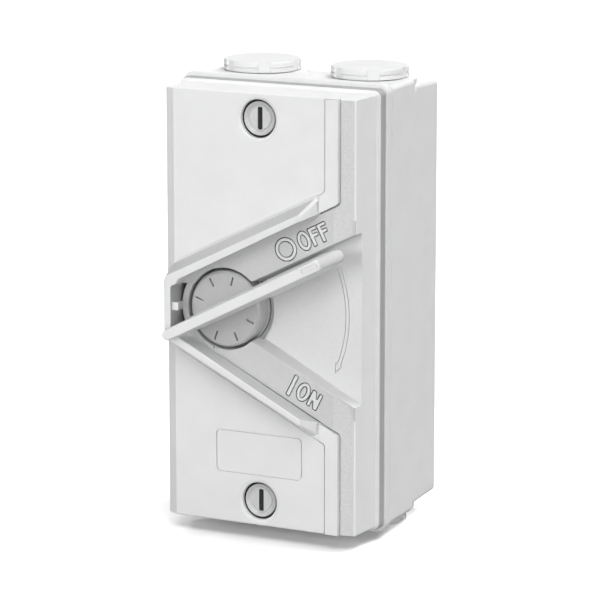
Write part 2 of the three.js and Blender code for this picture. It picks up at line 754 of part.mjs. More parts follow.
function switchFront() {
  const body = prism(moduleOutline(), moduleFront, moduleSplit - seatGap);
  const nose = rod(rotorRadius + noseWall, moduleFront - noseTall, moduleFront + 1, 0, 0, round);
  const bearing = rod(rotorRadius + runGap, moduleFront - 3, chamberFrom + 1, 0, 0, round);
  const chamber = rod(chamberRadius, chamberFrom, moduleSplit, 0, 0, round);
  const slots = block(-contactSlot, contactSlot, poleFront - seatGap, moduleSplit,
    -moduleHalfHeight - 1, moduleHalfHeight + 1);
  const wells = [
    ...[-1, 1].map((up) => rod(terminalWell, moduleFront - 1, poleFront + 1, 0, up * terminalReachZ)),
    ...[-1, 1].map((side) => rod(terminalWell, moduleFront - 1, moduleSplit, side * terminalReachX, 0)),
  ];
  return cut(join(body, nose), bearing, chamber, slots,
    fixHoles(fixShank + runGap, moduleFront + 2, moduleSplit),
    fixHoles(fixHead + runGap, moduleFront - 1, moduleFront + fixRecess), detentHole(), ...wells);
}

function switchRear() {
  const body = prism(moduleOutline(), moduleSplit, moduleRear);
  const chamber = rod(chamberRadius, moduleSplit - 1, chamberTo, 0, 0, round);
  const pivot = rod(pivotRadius + runGap, chamberTo - 1, pivotEnd + runGap, 0, 0, small);
  const slots = block(-moduleHalfWidth - 1, moduleHalfWidth + 1, moduleSplit - 1,
    poleRear + contactThick + seatGap, -contactSlot, contactSlot);
  const taps = [
    ...[-1, 1].map((up) => rod(tapRadius, moduleSplit - 1, Math.max(poleFront, moduleSplit) + tapLong,
      0, up * terminalReachZ)),
    ...[-1, 1].map((side) => rod(tapRadius, moduleSplit, poleRear + tapLong, side * terminalReachX, 0)),
    ...[-1, 1].map((side) => rod(terminalWell, moduleSplit - 1, poleRear, side * terminalReachX, 0)),
  ];
  return cut(body, chamber, pivot, slots,
    fixHoles(fixShank + runGap, moduleSplit - 1, moduleRear + 1), ...taps);
}

function rotor() {
  const body = turned([
    [0, moduleFront - 1], [rotorRadius, moduleFront - 1], [rotorRadius, chamberFrom + runGap],
    [rotorCore, chamberFrom + runGap], [rotorCore, discFrom], [rotorDisc, discFrom],
    [rotorDisc, discTo], [rotorCore, discTo], [rotorCore, chamberTo - runGap],
    [pivotRadius, chamberTo - runGap], [pivotRadius, pivotEnd], [0, pivotEnd],
  ]);
  const socket = squareHole(moduleFront - 3, shaftTo + runGap + 1, shaftSize + 2 * runGap)
    .rotate([0, sweepHalf, 0]);
  const slot = (depth) => block(-bridgeWide / 2 - seatGap, bridgeWide / 2 + seatGap,
    depth - seatGap, depth + contactThick + seatGap, -bridgeHalf, bridgeHalf);
  const sideSlot = (depth) => block(-bridgeHalf, bridgeHalf,
    depth - seatGap, depth + contactThick + seatGap, -bridgeWide / 2 - seatGap, bridgeWide / 2 + seatGap);
  const core = rod(rotorCore + 0.5, poleFront - 1, poleRear + 3, 0, 0, round);
  return cut(body, socket, slot(poleFront).intersect(core), sideSlot(poleRear).intersect(core));
}

function bridge(isUpright, depth) {
  const wide = bridgeWide / 2;
  return isUpright
    ? block(-wide, wide, depth, depth + contactThick, -bridgeHalf, bridgeHalf)
    : block(-bridgeHalf, bridgeHalf, depth, depth + contactThick, -wide, wide);
}

const contactGap = 0.6;

function fixedContact(isUpright, sign) {
  const wide = bridgeWide / 2;
  const from = bridgeHalf + contactGap;
  const to = isUpright ? moduleHalfHeight - 1.5 : moduleHalfWidth - 0.8;
  const depth = isUpright ? poleFront : poleRear;
  const low = Math.min(sign * from, sign * to);
  const high = Math.max(sign * from, sign * to);
  const strip = isUpright
    ? block(-wide, wide, depth, depth + contactThick, low, high)
    : block(low, high, depth, depth + contactThick, -wide, wide);
  const hole = isUpright
    ? rod(tapRadius, depth - 1, depth + 3, 0, sign * terminalReachZ)
    : rod(tapRadius, depth - 1, depth + 3, sign * terminalReachX, 0);
  return strip.subtract(hole);
}

// A straight slot for a screwdriver, across the head whose top lies at the given depth.
function driverSlot(x, z, top, headRadius) {
  const reach = headRadius * 0.8;
  return block(x - reach, x + reach, top - 1, top + slotDeep, z - slotHalf, z + slotHalf);
}

function terminalScrew(isUpright, sign) {
  const strip = isUpright ? poleFront : poleRear;
  const x = isUpright ? 0 : sign * terminalReachX;
  const z = isUpright ? sign * terminalReachZ : 0;
  const top = strip - seatGap - terminalHeadTall;
  const head = rod(terminalHead, top, strip - seatGap, x, z);
  const shank = rod(terminalShank, strip - 1, strip + terminalLong, x, z, small);
  return cut(join(head, shank), driverSlot(x, z, top, terminalHead));
}

function moduleScrew(side, up) {
  const x = side * fixReachX;
  const z = up * fixReachZ;
  const seat = moduleFront + fixRecess - seatGap;
  const head = rod(fixHead, seat - fixHeadTall, seat, x, z);
  const shank = rod(fixShank, seat - 1, bodyDepth - 2, x, z, small);
  return cut(join(head, shank), driverSlot(x, z, seat - fixHeadTall, fixHead));
}

// A spring in a blind hole presses the detent ball against the rotor.

function sideRod(radius, from, to) {
  const geometry = new THREE.CylinderGeometry(radius, radius, to - from, small);
  geometry.rotateZ(Math.PI / 2);
  geometry.translate(-(from + to) / 2, at(detentDepth), 0);
  return asSolid(geometry);
}

const detentHole = () => sideRod(ballRadius + seatGap, rotorRadius - 1, detentEnd)
  .rotate([0, detentAngle, 0]);

function detentBall() {
  const ball = new THREE.SphereGeometry(ballRadius, 16, 10);
  ball.translate(-(rotorRadius + seatGap + ballRadius), at(detentDepth), 0);
  return asSolid(ball);
}

function detentSpring() {
  const from = rotorRadius + 2 * seatGap + 2 * ballRadius;
  const hole = sideRod(ballRadius - 0.8, from - 1, detentEnd);
  return sideRod(ballRadius - 0.1, from, detentEnd - seatGap).subtract(hole);
}

// Earth bar

function earthBar() {
  const [hx, hz, hy] = earthHalf;
  const bar = block(earthX - hx, earthX + hx, earthFront, earthFront + 2 * hy, -hz, hz);
  const holes = [-1, 1].map((end) => rod(fixShank + seatGap, earthFront - 1, earthFront + 9,
    earthX, end * (hz - earthEnd), small));
  const clamps = [-1, 1].map((end) => rod(earthClampShank + seatGap, earthFront - 1,
    earthFront + earthClampLong + 1, earthX, end * earthClampZ, small));
  return cut(bar, ...holes, ...clamps);
}

function earthScrew(z, shank, long) {
  const top = earthFront - seatGap - earthHeadTall;
  const head = rod(earthHead, top, earthFront - seatGap, earthX, z);
  const body = rod(shank, earthFront - 1, earthFront + long, earthX, z, small);
  return cut(join(head, body), driverSlot(earthX, z, top, earthHead));
}

// Finishes

const finish = (color, roughness, metalness = 0) => new THREE.MeshStandardMaterial({
  color, roughness, metalness,
});
const shellPlastic = finish(0xe9ebea, 0.42);
const boxPlastic = finish(0xe4e7e6, 0.45);
const knobPlastic = finish(0xb9bcbb, 0.5);
const bladePlastic = finish(0xf0f1f0, 0.4);
const darkRubber = finish(0x5d6061, 0.8);
const modulePlastic = finish(0x9aa0a3, 0.6);
const rotorPlastic = finish(0xcfd2cf, 0.5);
const steel = finish(0xb8babc, 0.35, 1);
const brass = finish(0xc9a55c, 0.35, 1);
const copper = finish(0xc77f55, 0.4, 1);

function piece(name, solid, material) {
  const mesh = new THREE.Mesh(asGeometry(solid), material);
  mesh.name = name;
  return mesh;
}

// Assembly

const isolator = new THREE.Group();
isolator.add(piece('back_box', backBox(), boxPlastic));
isolator.add(piece('cover', cut(cover(), labelGroove()), shellPlastic));
isolator.add(piece('cover_gasket', coverGasket(), darkRubber));

const handle = new THREE.Group();
handle.position.x = knobX;
handle.rotation.y = -THREE.MathUtils.degToRad(sweepHalf);
handle.add(piece('knob', knob(), knobPlastic));
handle.add(piece('handle_lever', handleLever(), bladePlastic));
handle.add(piece('handle_screw_left', handleScrew(-1), steel));
handle.add(piece('handle_screw_right', handleScrew(1), steel));
handle.add(piece('knob_seal', ring(knobRadius + seatGap - ringRadius + 0.25, ringRadius, ringDepth),
  darkRubber));
handle.add(piece('knob_clip', knobClip(), steel));
handle.add(piece('drive_shaft', driveShaft(), steel));
isolator.add(handle);

for (const [word, up] of [['top', 1], ['bottom', -1]]) {
  const lock = new THREE.Group();
  lock.position.z = up * coverScrewZ;
  lock.add(piece(`cover_screw_${word}`, coverScrew(), bladePlastic));
  lock.add(piece(`screw_seal_${word}`, screwSeal(), darkRubber));
  isolator.add(lock);
  isolator.add(piece(`screw_insert_${word}`, screwInsert(up), brass));
  for (const [side, sign] of [['left', -1], ['right', 1]]) {
    const entry = new THREE.Group();
    entry.position.set(sign * plugX, plugY, 0);
    entry.rotation.x = up > 0 ? 0 : Math.PI;
    entry.add(piece(`plug_${word}_${side}`, plug(), boxPlastic));
    entry.add(piece(`plug_seal_${word}_${side}`, plugSeal(), darkRubber));
    isolator.add(entry);
  }
}

const mechanism = new THREE.Group();
mechanism.position.x = knobX;
mechanism.add(piece('switch_housing_front', switchFront(), modulePlastic));
mechanism.add(piece('switch_housing_rear', switchRear(), modulePlastic));
mechanism.add(piece('contact_top', fixedContact(true, 1), copper));
mechanism.add(piece('contact_bottom', fixedContact(true, -1), copper));
mechanism.add(piece('contact_left', fixedContact(false, -1), copper));
mechanism.add(piece('contact_right', fixedContact(false, 1), copper));
mechanism.add(piece('terminal_screw_top', terminalScrew(true, 1), steel));
mechanism.add(piece('terminal_screw_bottom', terminalScrew(true, -1), steel));
mechanism.add(piece('terminal_screw_left', terminalScrew(false, -1), steel));
mechanism.add(piece('terminal_screw_right', terminalScrew(false, 1), steel));
for (const [word, up] of [['top', 1], ['bottom', -1]]) {
  mechanism.add(piece(`housing_screw_${word}_left`, moduleScrew(-1, up), steel));
  mechanism.add(piece(`housing_screw_${word}_right`, moduleScrew(1, up), steel));
}

const detent = new THREE.Group();
detent.rotation.y = THREE.MathUtils.degToRad(detentAngle);
detent.add(piece('detent_ball', detentBall(), steel));
detent.add(piece('detent_spring', detentSpring(), steel));
mechanism.add(detent);

const turning = new THREE.Group();
turning.rotation.y = -THREE.MathUtils.degToRad(2 * sweepHalf);
turning.add(piece('rotor', rotor(), rotorPlastic));
turning.add(piece('bridge_front', bridge(true, poleFront), copper));
turning.add(piece('bridge_rear', bridge(false, poleRear), copper));
mechanism.add(turning);
isolator.add(mechanism);

isolator.add(piece('earth_bar', earthBar(), brass));
for (const [word, up] of [['top', 1], ['bottom', -1]]) {
  const fixZ = up * (earthHalf[1] - earthEnd);
  isolator.add(piece(`earth_fixing_screw_${word}`, earthScrew(fixZ, fixShank, earthFixLong), steel));
  isolator.add(piece(`earth_clamp_screw_${word}`,
    earthScrew(up * earthClampZ, earthClampShank, earthClampLong), steel));
}

export default isolator;
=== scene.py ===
# %% [markdown]
# # A rotary isolator switch, dressed for its picture
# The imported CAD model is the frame: it says where every piece is and what turns or lifts.
# This file gives the pieces that show their rounded edges, grooves and marks, and gives
# every piece a finish. Lengths are in millimetres until a mesh is made, and a point is given
# as x to the right, depth from the front panel towards the wall, and z upwards.

import math

import bmesh
import bpy
import numpy as np
from mathutils import Matrix


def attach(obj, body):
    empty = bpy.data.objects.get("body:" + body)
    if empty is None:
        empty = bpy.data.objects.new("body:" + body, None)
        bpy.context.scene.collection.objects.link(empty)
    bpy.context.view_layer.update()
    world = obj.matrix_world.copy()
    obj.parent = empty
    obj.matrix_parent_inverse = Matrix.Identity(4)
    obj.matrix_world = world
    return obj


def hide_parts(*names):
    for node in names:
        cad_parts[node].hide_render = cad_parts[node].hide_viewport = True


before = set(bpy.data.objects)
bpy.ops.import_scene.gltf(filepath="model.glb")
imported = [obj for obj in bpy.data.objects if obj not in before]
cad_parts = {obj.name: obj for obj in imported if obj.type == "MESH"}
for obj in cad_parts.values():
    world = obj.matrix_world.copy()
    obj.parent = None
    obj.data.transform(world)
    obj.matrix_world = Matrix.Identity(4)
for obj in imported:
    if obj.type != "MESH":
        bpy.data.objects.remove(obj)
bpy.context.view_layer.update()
MM = 0.001
panel_y = -68.4  # the front panel; every depth below is counted from it, towards the wall
knob_x = -13.6  # the knob's axis, left of the middle
screw_z = 70.3  # the cover screws' axes, above and below the middle
entry_x, entry_depth = 21.9, 46.9  # the conduit entries' axes
sweep = math.radians(27.2)  # the lever's tilt at OFF, which is the slant of the marks' rows

# %% [markdown]
# ## Camera
# The photograph was taken with a long lens from 26 degrees to the right and 12 degrees up.
# A camera could be aimed with a tracking constraint. A matrix is used here because the
# three directions of the fitted camera are known exactly.

# %% Camera
azimuth, elevation, roll = (math.radians(v) for v in (26.34, 12.04, -0.04))
forward = np.array([-math.sin(azimuth) * math.cos(elevation),
                    math.cos(azimuth) * math.cos(elevation), -math.sin(elevation)])
level = np.array([math.cos(azimuth), math.sin(azimuth), 0.0])
raised = np.cross(level, forward)
rightward = math.cos(roll) * level + math.sin(roll) * raised
upward = math.cos(roll) * raised - math.sin(roll) * level
eye = np.array([517.8, -1080.5, 247.06]) * MM

lens = bpy.data.cameras.new("portrait_lens")
focal_pixels, picture_pixels, sensor = 3236.2, 600, 36
lens.sensor_width = sensor
lens.lens = focal_pixels / picture_pixels * sensor
lens.clip_end = 20
camera = bpy.data.objects.new("portrait_camera", lens)
bpy.context.scene.collection.objects.link(camera)
placing = np.eye(4)
placing[:3, :] = np.stack([rightward, upward, -forward, eye], 1)
camera.matrix_world = Matrix(placing.tolist())
bpy.context.scene.camera = camera
print("camera at", eye.round(3), "lens", round(lens.lens, 1))

# %% [markdown]
# ## Outlines
# Nearly every plastic piece here is a moulding: a flat outline, pulled back, with soft edges.
# Outlines could be drawn as curves. Worked out as numbers, each corner and each edge keeps
# a radius that can be changed, and the same outline can be used for a wall and its groove.

# %% Rounded corners
def rounded(corners, radii, steps=5):
    """Outline with an arc in each corner. The arc's centre lies on the corner's bisector,
    radius / sin(half angle) away; it touches both sides radius / tan(half angle) away."""
    spot = np.asarray(corners, float)
    radius = np.maximum(np.broadcast_to(np.asarray(radii, float), len(spot)), 0.02)[:, None]
    back = np.roll(spot, 1, 0) - spot
    ahead = np.roll(spot, -1, 0) - spot
    back /= np.linalg.norm(back, axis=1, keepdims=True)
    ahead /= np.linalg.norm(ahead, axis=1, keepdims=True)
    half = np.arccos(np.clip((back * ahead).sum(1), -1, 1))[:, None] / 2
    middle = back + ahead
    middle /= np.linalg.norm(middle, axis=1, keepdims=True)
    centre = spot + middle * radius / np.sin(half)
    start = spot + back * radius / np.tan(half) - centre
    end = spot + ahead * radius / np.tan(half) - centre
    first = np.arctan2(start[:, 1], start[:, 0])
    turn = np.arctan2(end[:, 1], end[:, 0]) - first
    turn = (turn + np.pi) % (2 * np.pi) - np.pi
    angle = first[:, None] + turn[:, None] * np.linspace(0, 1, steps + 1)
    arc = np.stack([np.cos(angle), np.sin(angle)], -1) * radius[:, None]
    return (centre[:, None] + arc).reshape(-1, 2)


def rectangle(half_wide, half_high, radius, x=0.0, z=0.0, steps=6):
    """Rounded rectangle about a middle, anticlockwise as seen from the front."""
    corners = [(half_wide, half_high), (-half_wide, half_high),
               (-half_wide, -half_high), (half_wide, -half_high)]
    return rounded(corners, radius, steps) + (x, z)


def circle(radius, x=0.0, z=0.0, segments=96):
    """Circle: radius times cosine across and radius times sine up."""
    angle = np.arange(segments) * 2 * np.pi / segments
    return np.stack([x + radius * np.cos(angle), z + radius * np.sin(angle)], -1)


print("corner of 3 mm:", rounded([(5, 5), (-5, 5), (-5, -5), (5, -5)], 3)[:2].round(2).tolist())

# %% [markdown]
# A rounded edge needs the same outline a little smaller, and a groove needs it a little
# larger. Scaling would move a long side further than a short one, so every point moves along
# its own corner's bisector. A groove that follows a line is a ribbon: the line moved to both
# sides, each point with its own width, so that the groove can grow thinner.

# %% Moved outlines and ribbons
def grown(outline, distance):
    """Outline moved outwards: each point moves along the mean of its two sides' normals,
    by the distance over the cosine of half the angle between them."""
    side = np.roll(outline, -1, 0) - outline
    side /= np.linalg.norm(side, axis=1, keepdims=True)
    ahead = np.stack([side[:, 1], -side[:, 0]], -1)
    back = np.roll(ahead, 1, 0)
    middle = back + ahead
    middle /= np.linalg.norm(middle, axis=1, keepdims=True)
    return outline + distance * middle / (middle * ahead).sum(1, keepdims=True)


def ribbon(path, widths):
    """Outline of a strip along a path: half the width to either side of each point."""
    along = np.gradient(np.asarray(path, float), axis=0)
    along /= np.linalg.norm(along, axis=1, keepdims=True)
    aside = np.stack([along[:, 1], -along[:, 0]], -1) * np.asarray(widths)[:, None] / 2
    return np.concatenate([path + aside, (path - aside)[::-1]])


print("a 10 mm circle grown by 0.5:", np.hypot(*grown(circle(10), 0.5).T).max().round(3))

# %% [markdown]
# ## From outlines to solids
# A moulding's edge is a quarter circle. For a wall the outline shrinks as it reaches the
# surface; for the mouth of a hole it grows. So a stack of outlines, each at its own depth,
# gives both, and every piece stays one closed surface that Boolean modifiers can join or cut.

# %% Stacks of outlines
def quarter(radius, steps=4):
    """Quarter circle: radius * (1 - sin t) inwards and radius * (1 - cos t) along."""
    t = np.linspace(0, np.pi / 2, steps + 1)
    return radius * (1 - np.sin(t)), abs(radius) * (1 - np.cos(t))


def stack(outlines, levels, axis="y"):
    """Rings of points: each outline at its level along an axis: y, which is depth, or z."""
    flat = np.asarray(outlines, float)
    height = np.broadcast_to(np.asarray(levels, float)[:, None], flat.shape[:2])
    a, b = flat[..., 0], flat[..., 1]
    return np.stack((a, height, b) if axis == "y" else (a, b, height), -1)


def slab(outline, low, high, soft_low=0.0, soft_high=0.0, axis="y", lead=0.0):
    """A prism with rounded edges. A soft edge above zero shrinks the outline at its end, as
    on a wall; below zero it grows, as at the mouth of a hole. lead carries the low end on."""
    parts, levels = [], []
    if soft_low:
        inward, along = quarter(soft_low)
        parts += [grown(outline, -v) for v in inward]
        levels += list(low + along)
    else:
        parts, levels = [outline], [low]
    if lead:
        parts, levels = [parts[0]] + parts, [low - lead] + levels
    if soft_high:
        inward, along = quarter(soft_high)
        parts += [grown(outline, -v) for v in inward[::-1]]
        levels += list(high - along[::-1])
    else:
        parts, levels = parts + [outline], levels + [high]
    return solid(stack(parts, levels, axis))


def solid(rings, loop=False):
    """Faces between neighbouring rings; a flat face closes each end unless they loop."""
    levels, count = rings.shape[:2]
    low = np.arange(levels if loop else levels - 1)[:, None] * count
    high = (low + count) % (levels * count)
    here = np.arange(count)[None, :]
    there = (here + 1) % count
    quads = np.stack([low + here, low + there, high + there, high + here], -1).reshape(-1, 4)
    ends = [] if loop else [list(range(count))[::-1],
                            list(range((levels - 1) * count, levels * count))]
    return rings.reshape(-1, 3), quads.tolist() + ends


print("a soft block has", len(slab(rectangle(5, 5, 1), 0, 3, 0.5, 0.5)[1]), "faces")

# %% [markdown]
# A seal is a frame between two outlines, and a knob or a screw is turned. Both could be a
# curve with a bevel or a Screw modifier. As stacks of rings they use the same few lines as
# the walls do, and a ring that comes back to its start closes without end faces.

# %% Frames, turned shapes and blocks
def hoop(outer, inner, low, high, soft=0.0):
    """A frame between two outlines with the same number of points. Its six rings go round
    the section: up the outer wall, over a chamfer of the size soft, and down the inner one."""
    s = max(soft, 0.001)
    rings = stack([outer, outer, grown(outer, -s), grown(inner, s), inner, inner],
                  [high, low + s, low, low, low + s, high])
    return solid(rings, loop=True)


def spun(profile, x=0.0, z=0.0, segments=96, axis="y", y=0.0):
    """A turned shape: each (radius, level) point goes round its axis in a circle, radius
    times cosine to one side and radius times sine to the other."""
    radius, height = np.asarray(profile, float).T[:, :, None]
    angle = np.arange(segments) * 2 * np.pi / segments
    a, b = radius * np.cos(angle), radius * np.sin(angle)
    height = np.broadcast_to(height, a.shape)
    if axis == "y":
        rings = np.stack([x + a, height, z + b], -1)
    else:
        rings = np.stack([x + a, y + b, height], -1)
    closed = np.allclose(profile[0], profile[-1])
    return solid(rings[:-1], loop=True) if closed else solid(rings)


def box_of(low, high, soft=0.0):
    """A block between two corners: a rectangle about their mean, half their difference wide
    and high, from the first one's depth to the second one's."""
    low, high = np.asarray(low, float), np.asarray(high, float)
    middle, half = (low + high) / 2, (high - low) / 2
    outline = rectangle(half[0], half[2], max(soft, 0.02), middle[0], middle[2], 3)
    return slab(outline, low[1], high[1], soft, soft)


print("a turned pin has", len(spun([(0, 0), (2, 0), (2, 5), (0, 5)])[1]), "faces")

# %% [markdown]
# ## Joining, cutting and keeping
# The cover is one moulding with rims, wells and a recess. Its rims could be modelled by
# pushing faces about, but a list of closed shapes to add and to take away is easier to
# read and to change, and Blender's Boolean modifiers do the joining. Their exact manifold
# solver needs closed shapes and gives a closed one back.

# %% Mesh helpers
def mesh_of(name, shape):
    """An object from points and faces: depths become y, millimetres become metres."""
    points, faces = shape
    mesh = bpy.data.meshes.new(name)
    mesh.from_pydata(((points + (0, panel_y, 0)) * MM).tolist(), [], faces)
    tidy(mesh)
    made = bpy.data.objects.new(name, mesh)
    bpy.context.scene.collection.objects.link(made)
    return made


def tidy(mesh):
    """Merges doubles, such as the points of a pole, and turns all faces outwards."""
    work = bmesh.new()
    work.from_mesh(mesh)
    bmesh.ops.remove_doubles(work, verts=work.verts, dist=2e-6)
    bmesh.ops.recalc_face_normals(work, faces=work.faces)
    work.to_mesh(mesh)
    work.free()


def combine(name, first, *steps):
    """Adds and cuts shapes in order: each step is ("UNION" or "DIFFERENCE", shape)."""
    base = mesh_of(name, first)
    tools = []
    for kind, shape in steps:
        tool = mesh_of(name + "_tool", shape)
        change = base.modifiers.new(kind, "BOOLEAN")
        change.operation, change.object, change.solver = kind, tool, "MANIFOLD"
        tools.append(tool)
    shown = base.evaluated_get(bpy.context.evaluated_depsgraph_get())
    result = bpy.data.meshes.new_from_object(shown)
    base.modifiers.clear()
    base.data = result
    for tool in tools:
        bpy.data.objects.remove(tool)
    return base


def add(shape):
    """A step for combine: the shape is joined on."""
    return "UNION", shape


def cut(shape):
    """A step for combine: the shape is taken away."""
    return "DIFFERENCE", shape


print("lengths are multiplied by", MM, "and depths start at y =", panel_y)

# %% [markdown]
# A finished piece rides on the body that moves it and takes the place of the plain CAD pieces
# it stands for. Edges sharper than 38 degrees stay crisp, which is more than the steps of a
# rounded corner and less than a fold.
# The Weighted Normal modifier keeps flat faces flat in the light, so that only the rounded
# edges gleam.

# %% Dressing a piece
def keep(piece, finish, slot, body, *nodes, crease=38):
    """Shades a piece smooth between its creases, dresses it and ties it to the frame."""
    mesh = piece.data
    mesh.materials.clear()
    mesh.materials.append(finish)
    mesh.polygons.foreach_set("use_smooth", np.ones(len(mesh.polygons), bool))
    mesh.set_sharp_from_angle(angle=math.radians(crease))
    flatten = piece.modifiers.new("flat faces first", "WEIGHTED_NORMAL")
    flatten.mode, flatten.weight, flatten.keep_sharp = "FACE_AREA", 100, True
    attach(piece, body)
    if nodes:
        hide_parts(*nodes)
    print(piece.name, len(mesh.polygons), "faces on", body)


# %% [markdown]
# ## Finishes
# Moulded plastic is nearly one colour, but not quite: it has a faint mottle from the
# melt, a fine grain from the mould and places that shine more than others. An image could
# hold that. Noise nodes on Object coordinates give it at any distance, in real sizes.

# %% Noise for a finish
def noise(tree, place, scale, detail, rough=0.5):
    """A noise texture at a place's coordinates: scale waves a metre, each detail level at
    rough times the height of the one before."""
    made = tree.nodes.new("ShaderNodeTexNoise")
    made.inputs["Scale"].default_value = scale
    made.inputs["Detail"].default_value = detail
    made.inputs["Roughness"].default_value = rough
    tree.links.new(place, made.inputs["Vector"])
    return made.outputs["Fac"]


def stretched(tree, source, low, high):
    """The middle of a noise, 0.3 to 0.7, where nearly all of it lies, mapped to low to high."""
    made = tree.nodes.new("ShaderNodeMapRange")
    made.inputs["From Min"].default_value = 0.3
    made.inputs["From Max"].default_value = 0.7
    made.inputs["To Min"].default_value = low
    made.inputs["To Max"].default_value = high
    tree.links.new(source, made.inputs["Value"])
    return made.outputs["Result"]


print("a grain of 0.5 mm is a noise of scale", 1 / 0.0005)

# %% [markdown]
# A plastic is then a Principled shader with three noises: a cloudy one for the colour, a
# broad one for the shine and a fine one for the grain, which is a bump, because its height
# is a tenth of a millimetre and less.

# %% Plastic
def plastic(name, colour, roughness, grain=0.00012, size=0.0005, mottle=0.02, cloud=90):
    """Moulded plastic: the colour varies by the mottle with a cloudy noise, a fine noise of
    the grain's size is its height, and the roughness wanders with a broader noise."""
    material = bpy.data.materials.new(name)
    material.use_nodes = True
    tree = material.node_tree
    nodes, links = tree.nodes, tree.links
    shader = nodes["Principled BSDF"]
    place = nodes.new("ShaderNodeTexCoord").outputs["Object"]
    tint = nodes.new("ShaderNodeMix")
    tint.data_type = "RGBA"
    tint.inputs["A"].default_value = (*(c * (1 - mottle) for c in colour), 1)
    tint.inputs["B"].default_value = (*(min(c * (1 + mottle), 1) for c in colour), 1)
    links.new(stretched(tree, noise(tree, place, cloud, 4), 0, 1), tint.inputs["Factor"])
    links.new(tint.outputs["Result"], shader.inputs["Base Color"])
    shine = noise(tree, place, 35, 5)
    links.new(stretched(tree, shine, roughness - 0.05, roughness + 0.06),
              shader.inputs["Roughness"])
    bump = nodes.new("ShaderNodeBump")
    bump.inputs["Strength"].default_value = 0.35
    bump.inputs["Distance"].default_value = grain
    links.new(noise(tree, place, 1 / size, 3, 0.6), bump.inputs["Height"])
    links.new(bump.outputs["Normal"], shader.inputs["Normal"])
    shader.inputs["IOR"].default_value = 1.5
    return material


def grey(value, tint=(1.0, 1.0, 1.0)):
    """A screen value from 0 to 255 as linear light, for each channel: a straight line close
    to black, and above it the power 2.4 of the screen's own curve."""
    s = np.clip(value * np.asarray(tint) / 255, 0, 1)
    return tuple(np.where(s <= 0.04045, s / 12.92, ((s + 0.055) / 1.055) ** 2.4))


print("mid grey is", round(float(grey(128)[0]), 3), "in linear light")

# %% [markdown]
# The cover, box, plugs and lever are one white plastic in slightly different tones. The
# field beside the strips is grained. The recess looks greyer the deeper it lies. Part of that
# is shade, and its colours paint the rest: the satin of the rims' walls and slopes is partly a
# duller finish and partly painted shade, the fan's floor is lighter right of the middle, and
# the grey of the deep places round the knob and of the fine grooves round the letters is
# painted shade.

# %% The plastics of the switch
white = (0.997, 1.0, 0.998)  # a trace of green, as the photograph's white has
cover_white = plastic("cover plastic", grey(236, white), 0.42)
grained_plastic = plastic("grained cover plastic", grey(213, white), 0.6, 0.0005, 0.0006,
                          0.07, 1500)
fan_plastic = plastic("fan plastic", grey(224, white), 0.45, 0.00015, 0.0006, 0.02, 900)
# painted shade: the dark grey in the grooves round the letters
groove_shade_plastic = plastic("painted letter groove shade", grey(112, white), 0.6)
screw_plastic = plastic("screw plastic", grey(206, white), 0.3, 0.00008)
# painted shade: darker grey for the pocket and the moat round the knob
shade_recess_plastic = plastic("painted recess shade", grey(166, white), 0.55, 0.0002, 0.0006,
                       0.03, 1300)
# a duller satin finish that also carries painted shade: the recess, the rims' slopes, the fan's
# left part and the lever's tip
satin_and_shade_plastic = plastic("satin cover plastic and painted shade", grey(206, white), 0.5, 0.0002, 0.0006,
                        0.03, 1300)
box_white = plastic("box plastic", grey(234, white), 0.46, 0.00015, 0.0006)
plug_white = plastic("plug plastic", grey(228, white), 0.6)
lever_white = plastic("lever plastic", grey(239, white), 0.34, 0.00008)
knob_grey = plastic("knob plastic", grey(188, white), 0.45, 0.00015, 0.0006, 0.03, 1200)
rubber = plastic("seal rubber", grey(70), 0.75, 0.0002, 0.0004, 0.08)
# the joint's bead: the seal's own grey, with painted shade of the gap
seal_and_gap_shade_rubber = plastic("lid seal rubber and painted gap shade", grey(172), 0.7, 0.0002, 0.0004, 0.04)
# painted shade: black for the slot and the gap round each cover screw
gap_shade_black = plastic("painted gap shade black", grey(16), 0.75)
module_grey = plastic("module plastic", grey(150, (0.98, 1.0, 1.01)), 0.55, 0.0002)
rotor_white = plastic("rotor plastic", grey(205, (1.0, 1.0, 0.98)), 0.5)
print(len(bpy.data.materials), "materials")

# %% [markdown]
# Metal parts inside are turned or drawn, so their finish is streaked: a noise that is
# stretched along one direction stands for the drawing marks.

# %% Metals
def metal(name, colour, roughness, stretch=(1, 1, 14)):
    """Drawn metal: one noise, stretched along a direction, is the height of the marks,
    moves the roughness from 0.08 below to 0.12 above, and darkens the colour by up to 14 %."""
    material = bpy.data.materials.new(name)
    material.use_nodes = True
    nodes, links = material.node_tree.nodes, material.node_tree.links
    shader = nodes["Principled BSDF"]
    place = nodes.new("ShaderNodeTexCoord")
    turned = nodes.new("ShaderNodeMapping")
    turned.inputs["Scale"].default_value = stretch
    links.new(place.outputs["Object"], turned.inputs["Vector"])
    streak = nodes.new("ShaderNodeTexNoise")
    streak.inputs["Scale"].default_value = 900
    streak.inputs["Detail"].default_value = 3
    links.new(turned.outputs["Vector"], streak.inputs["Vector"])
    shine = nodes.new("ShaderNodeMapRange")
    shine.inputs["To Min"].default_value = roughness - 0.08
    shine.inputs["To Max"].default_value = roughness + 0.12
    links.new(streak.outputs["Fac"], shine.inputs["Value"])
    links.new(shine.outputs["Result"], shader.inputs["Roughness"])
    tint = nodes.new("ShaderNodeMix")
    tint.data_type = "RGBA"
    tint.inputs["A"].default_value = (*(c * 0.86 for c in colour), 1)
    tint.inputs["B"].default_value = (*colour, 1)
    links.new(streak.outputs["Fac"], tint.inputs["Factor"])
    links.new(tint.outputs["Result"], shader.inputs["Base Color"])
    bump = nodes.new("ShaderNodeBump")
    bump.inputs["Strength"].default_value = 0.2
    bump.inputs["Distance"].default_value = 0.00005
    links.new(streak.outputs["Fac"], bump.inputs["Height"])
    links.new(bump.outputs["Normal"], shader.inputs["Normal"])
    shader.inputs["Metallic"].default_value = 1.0
    return material


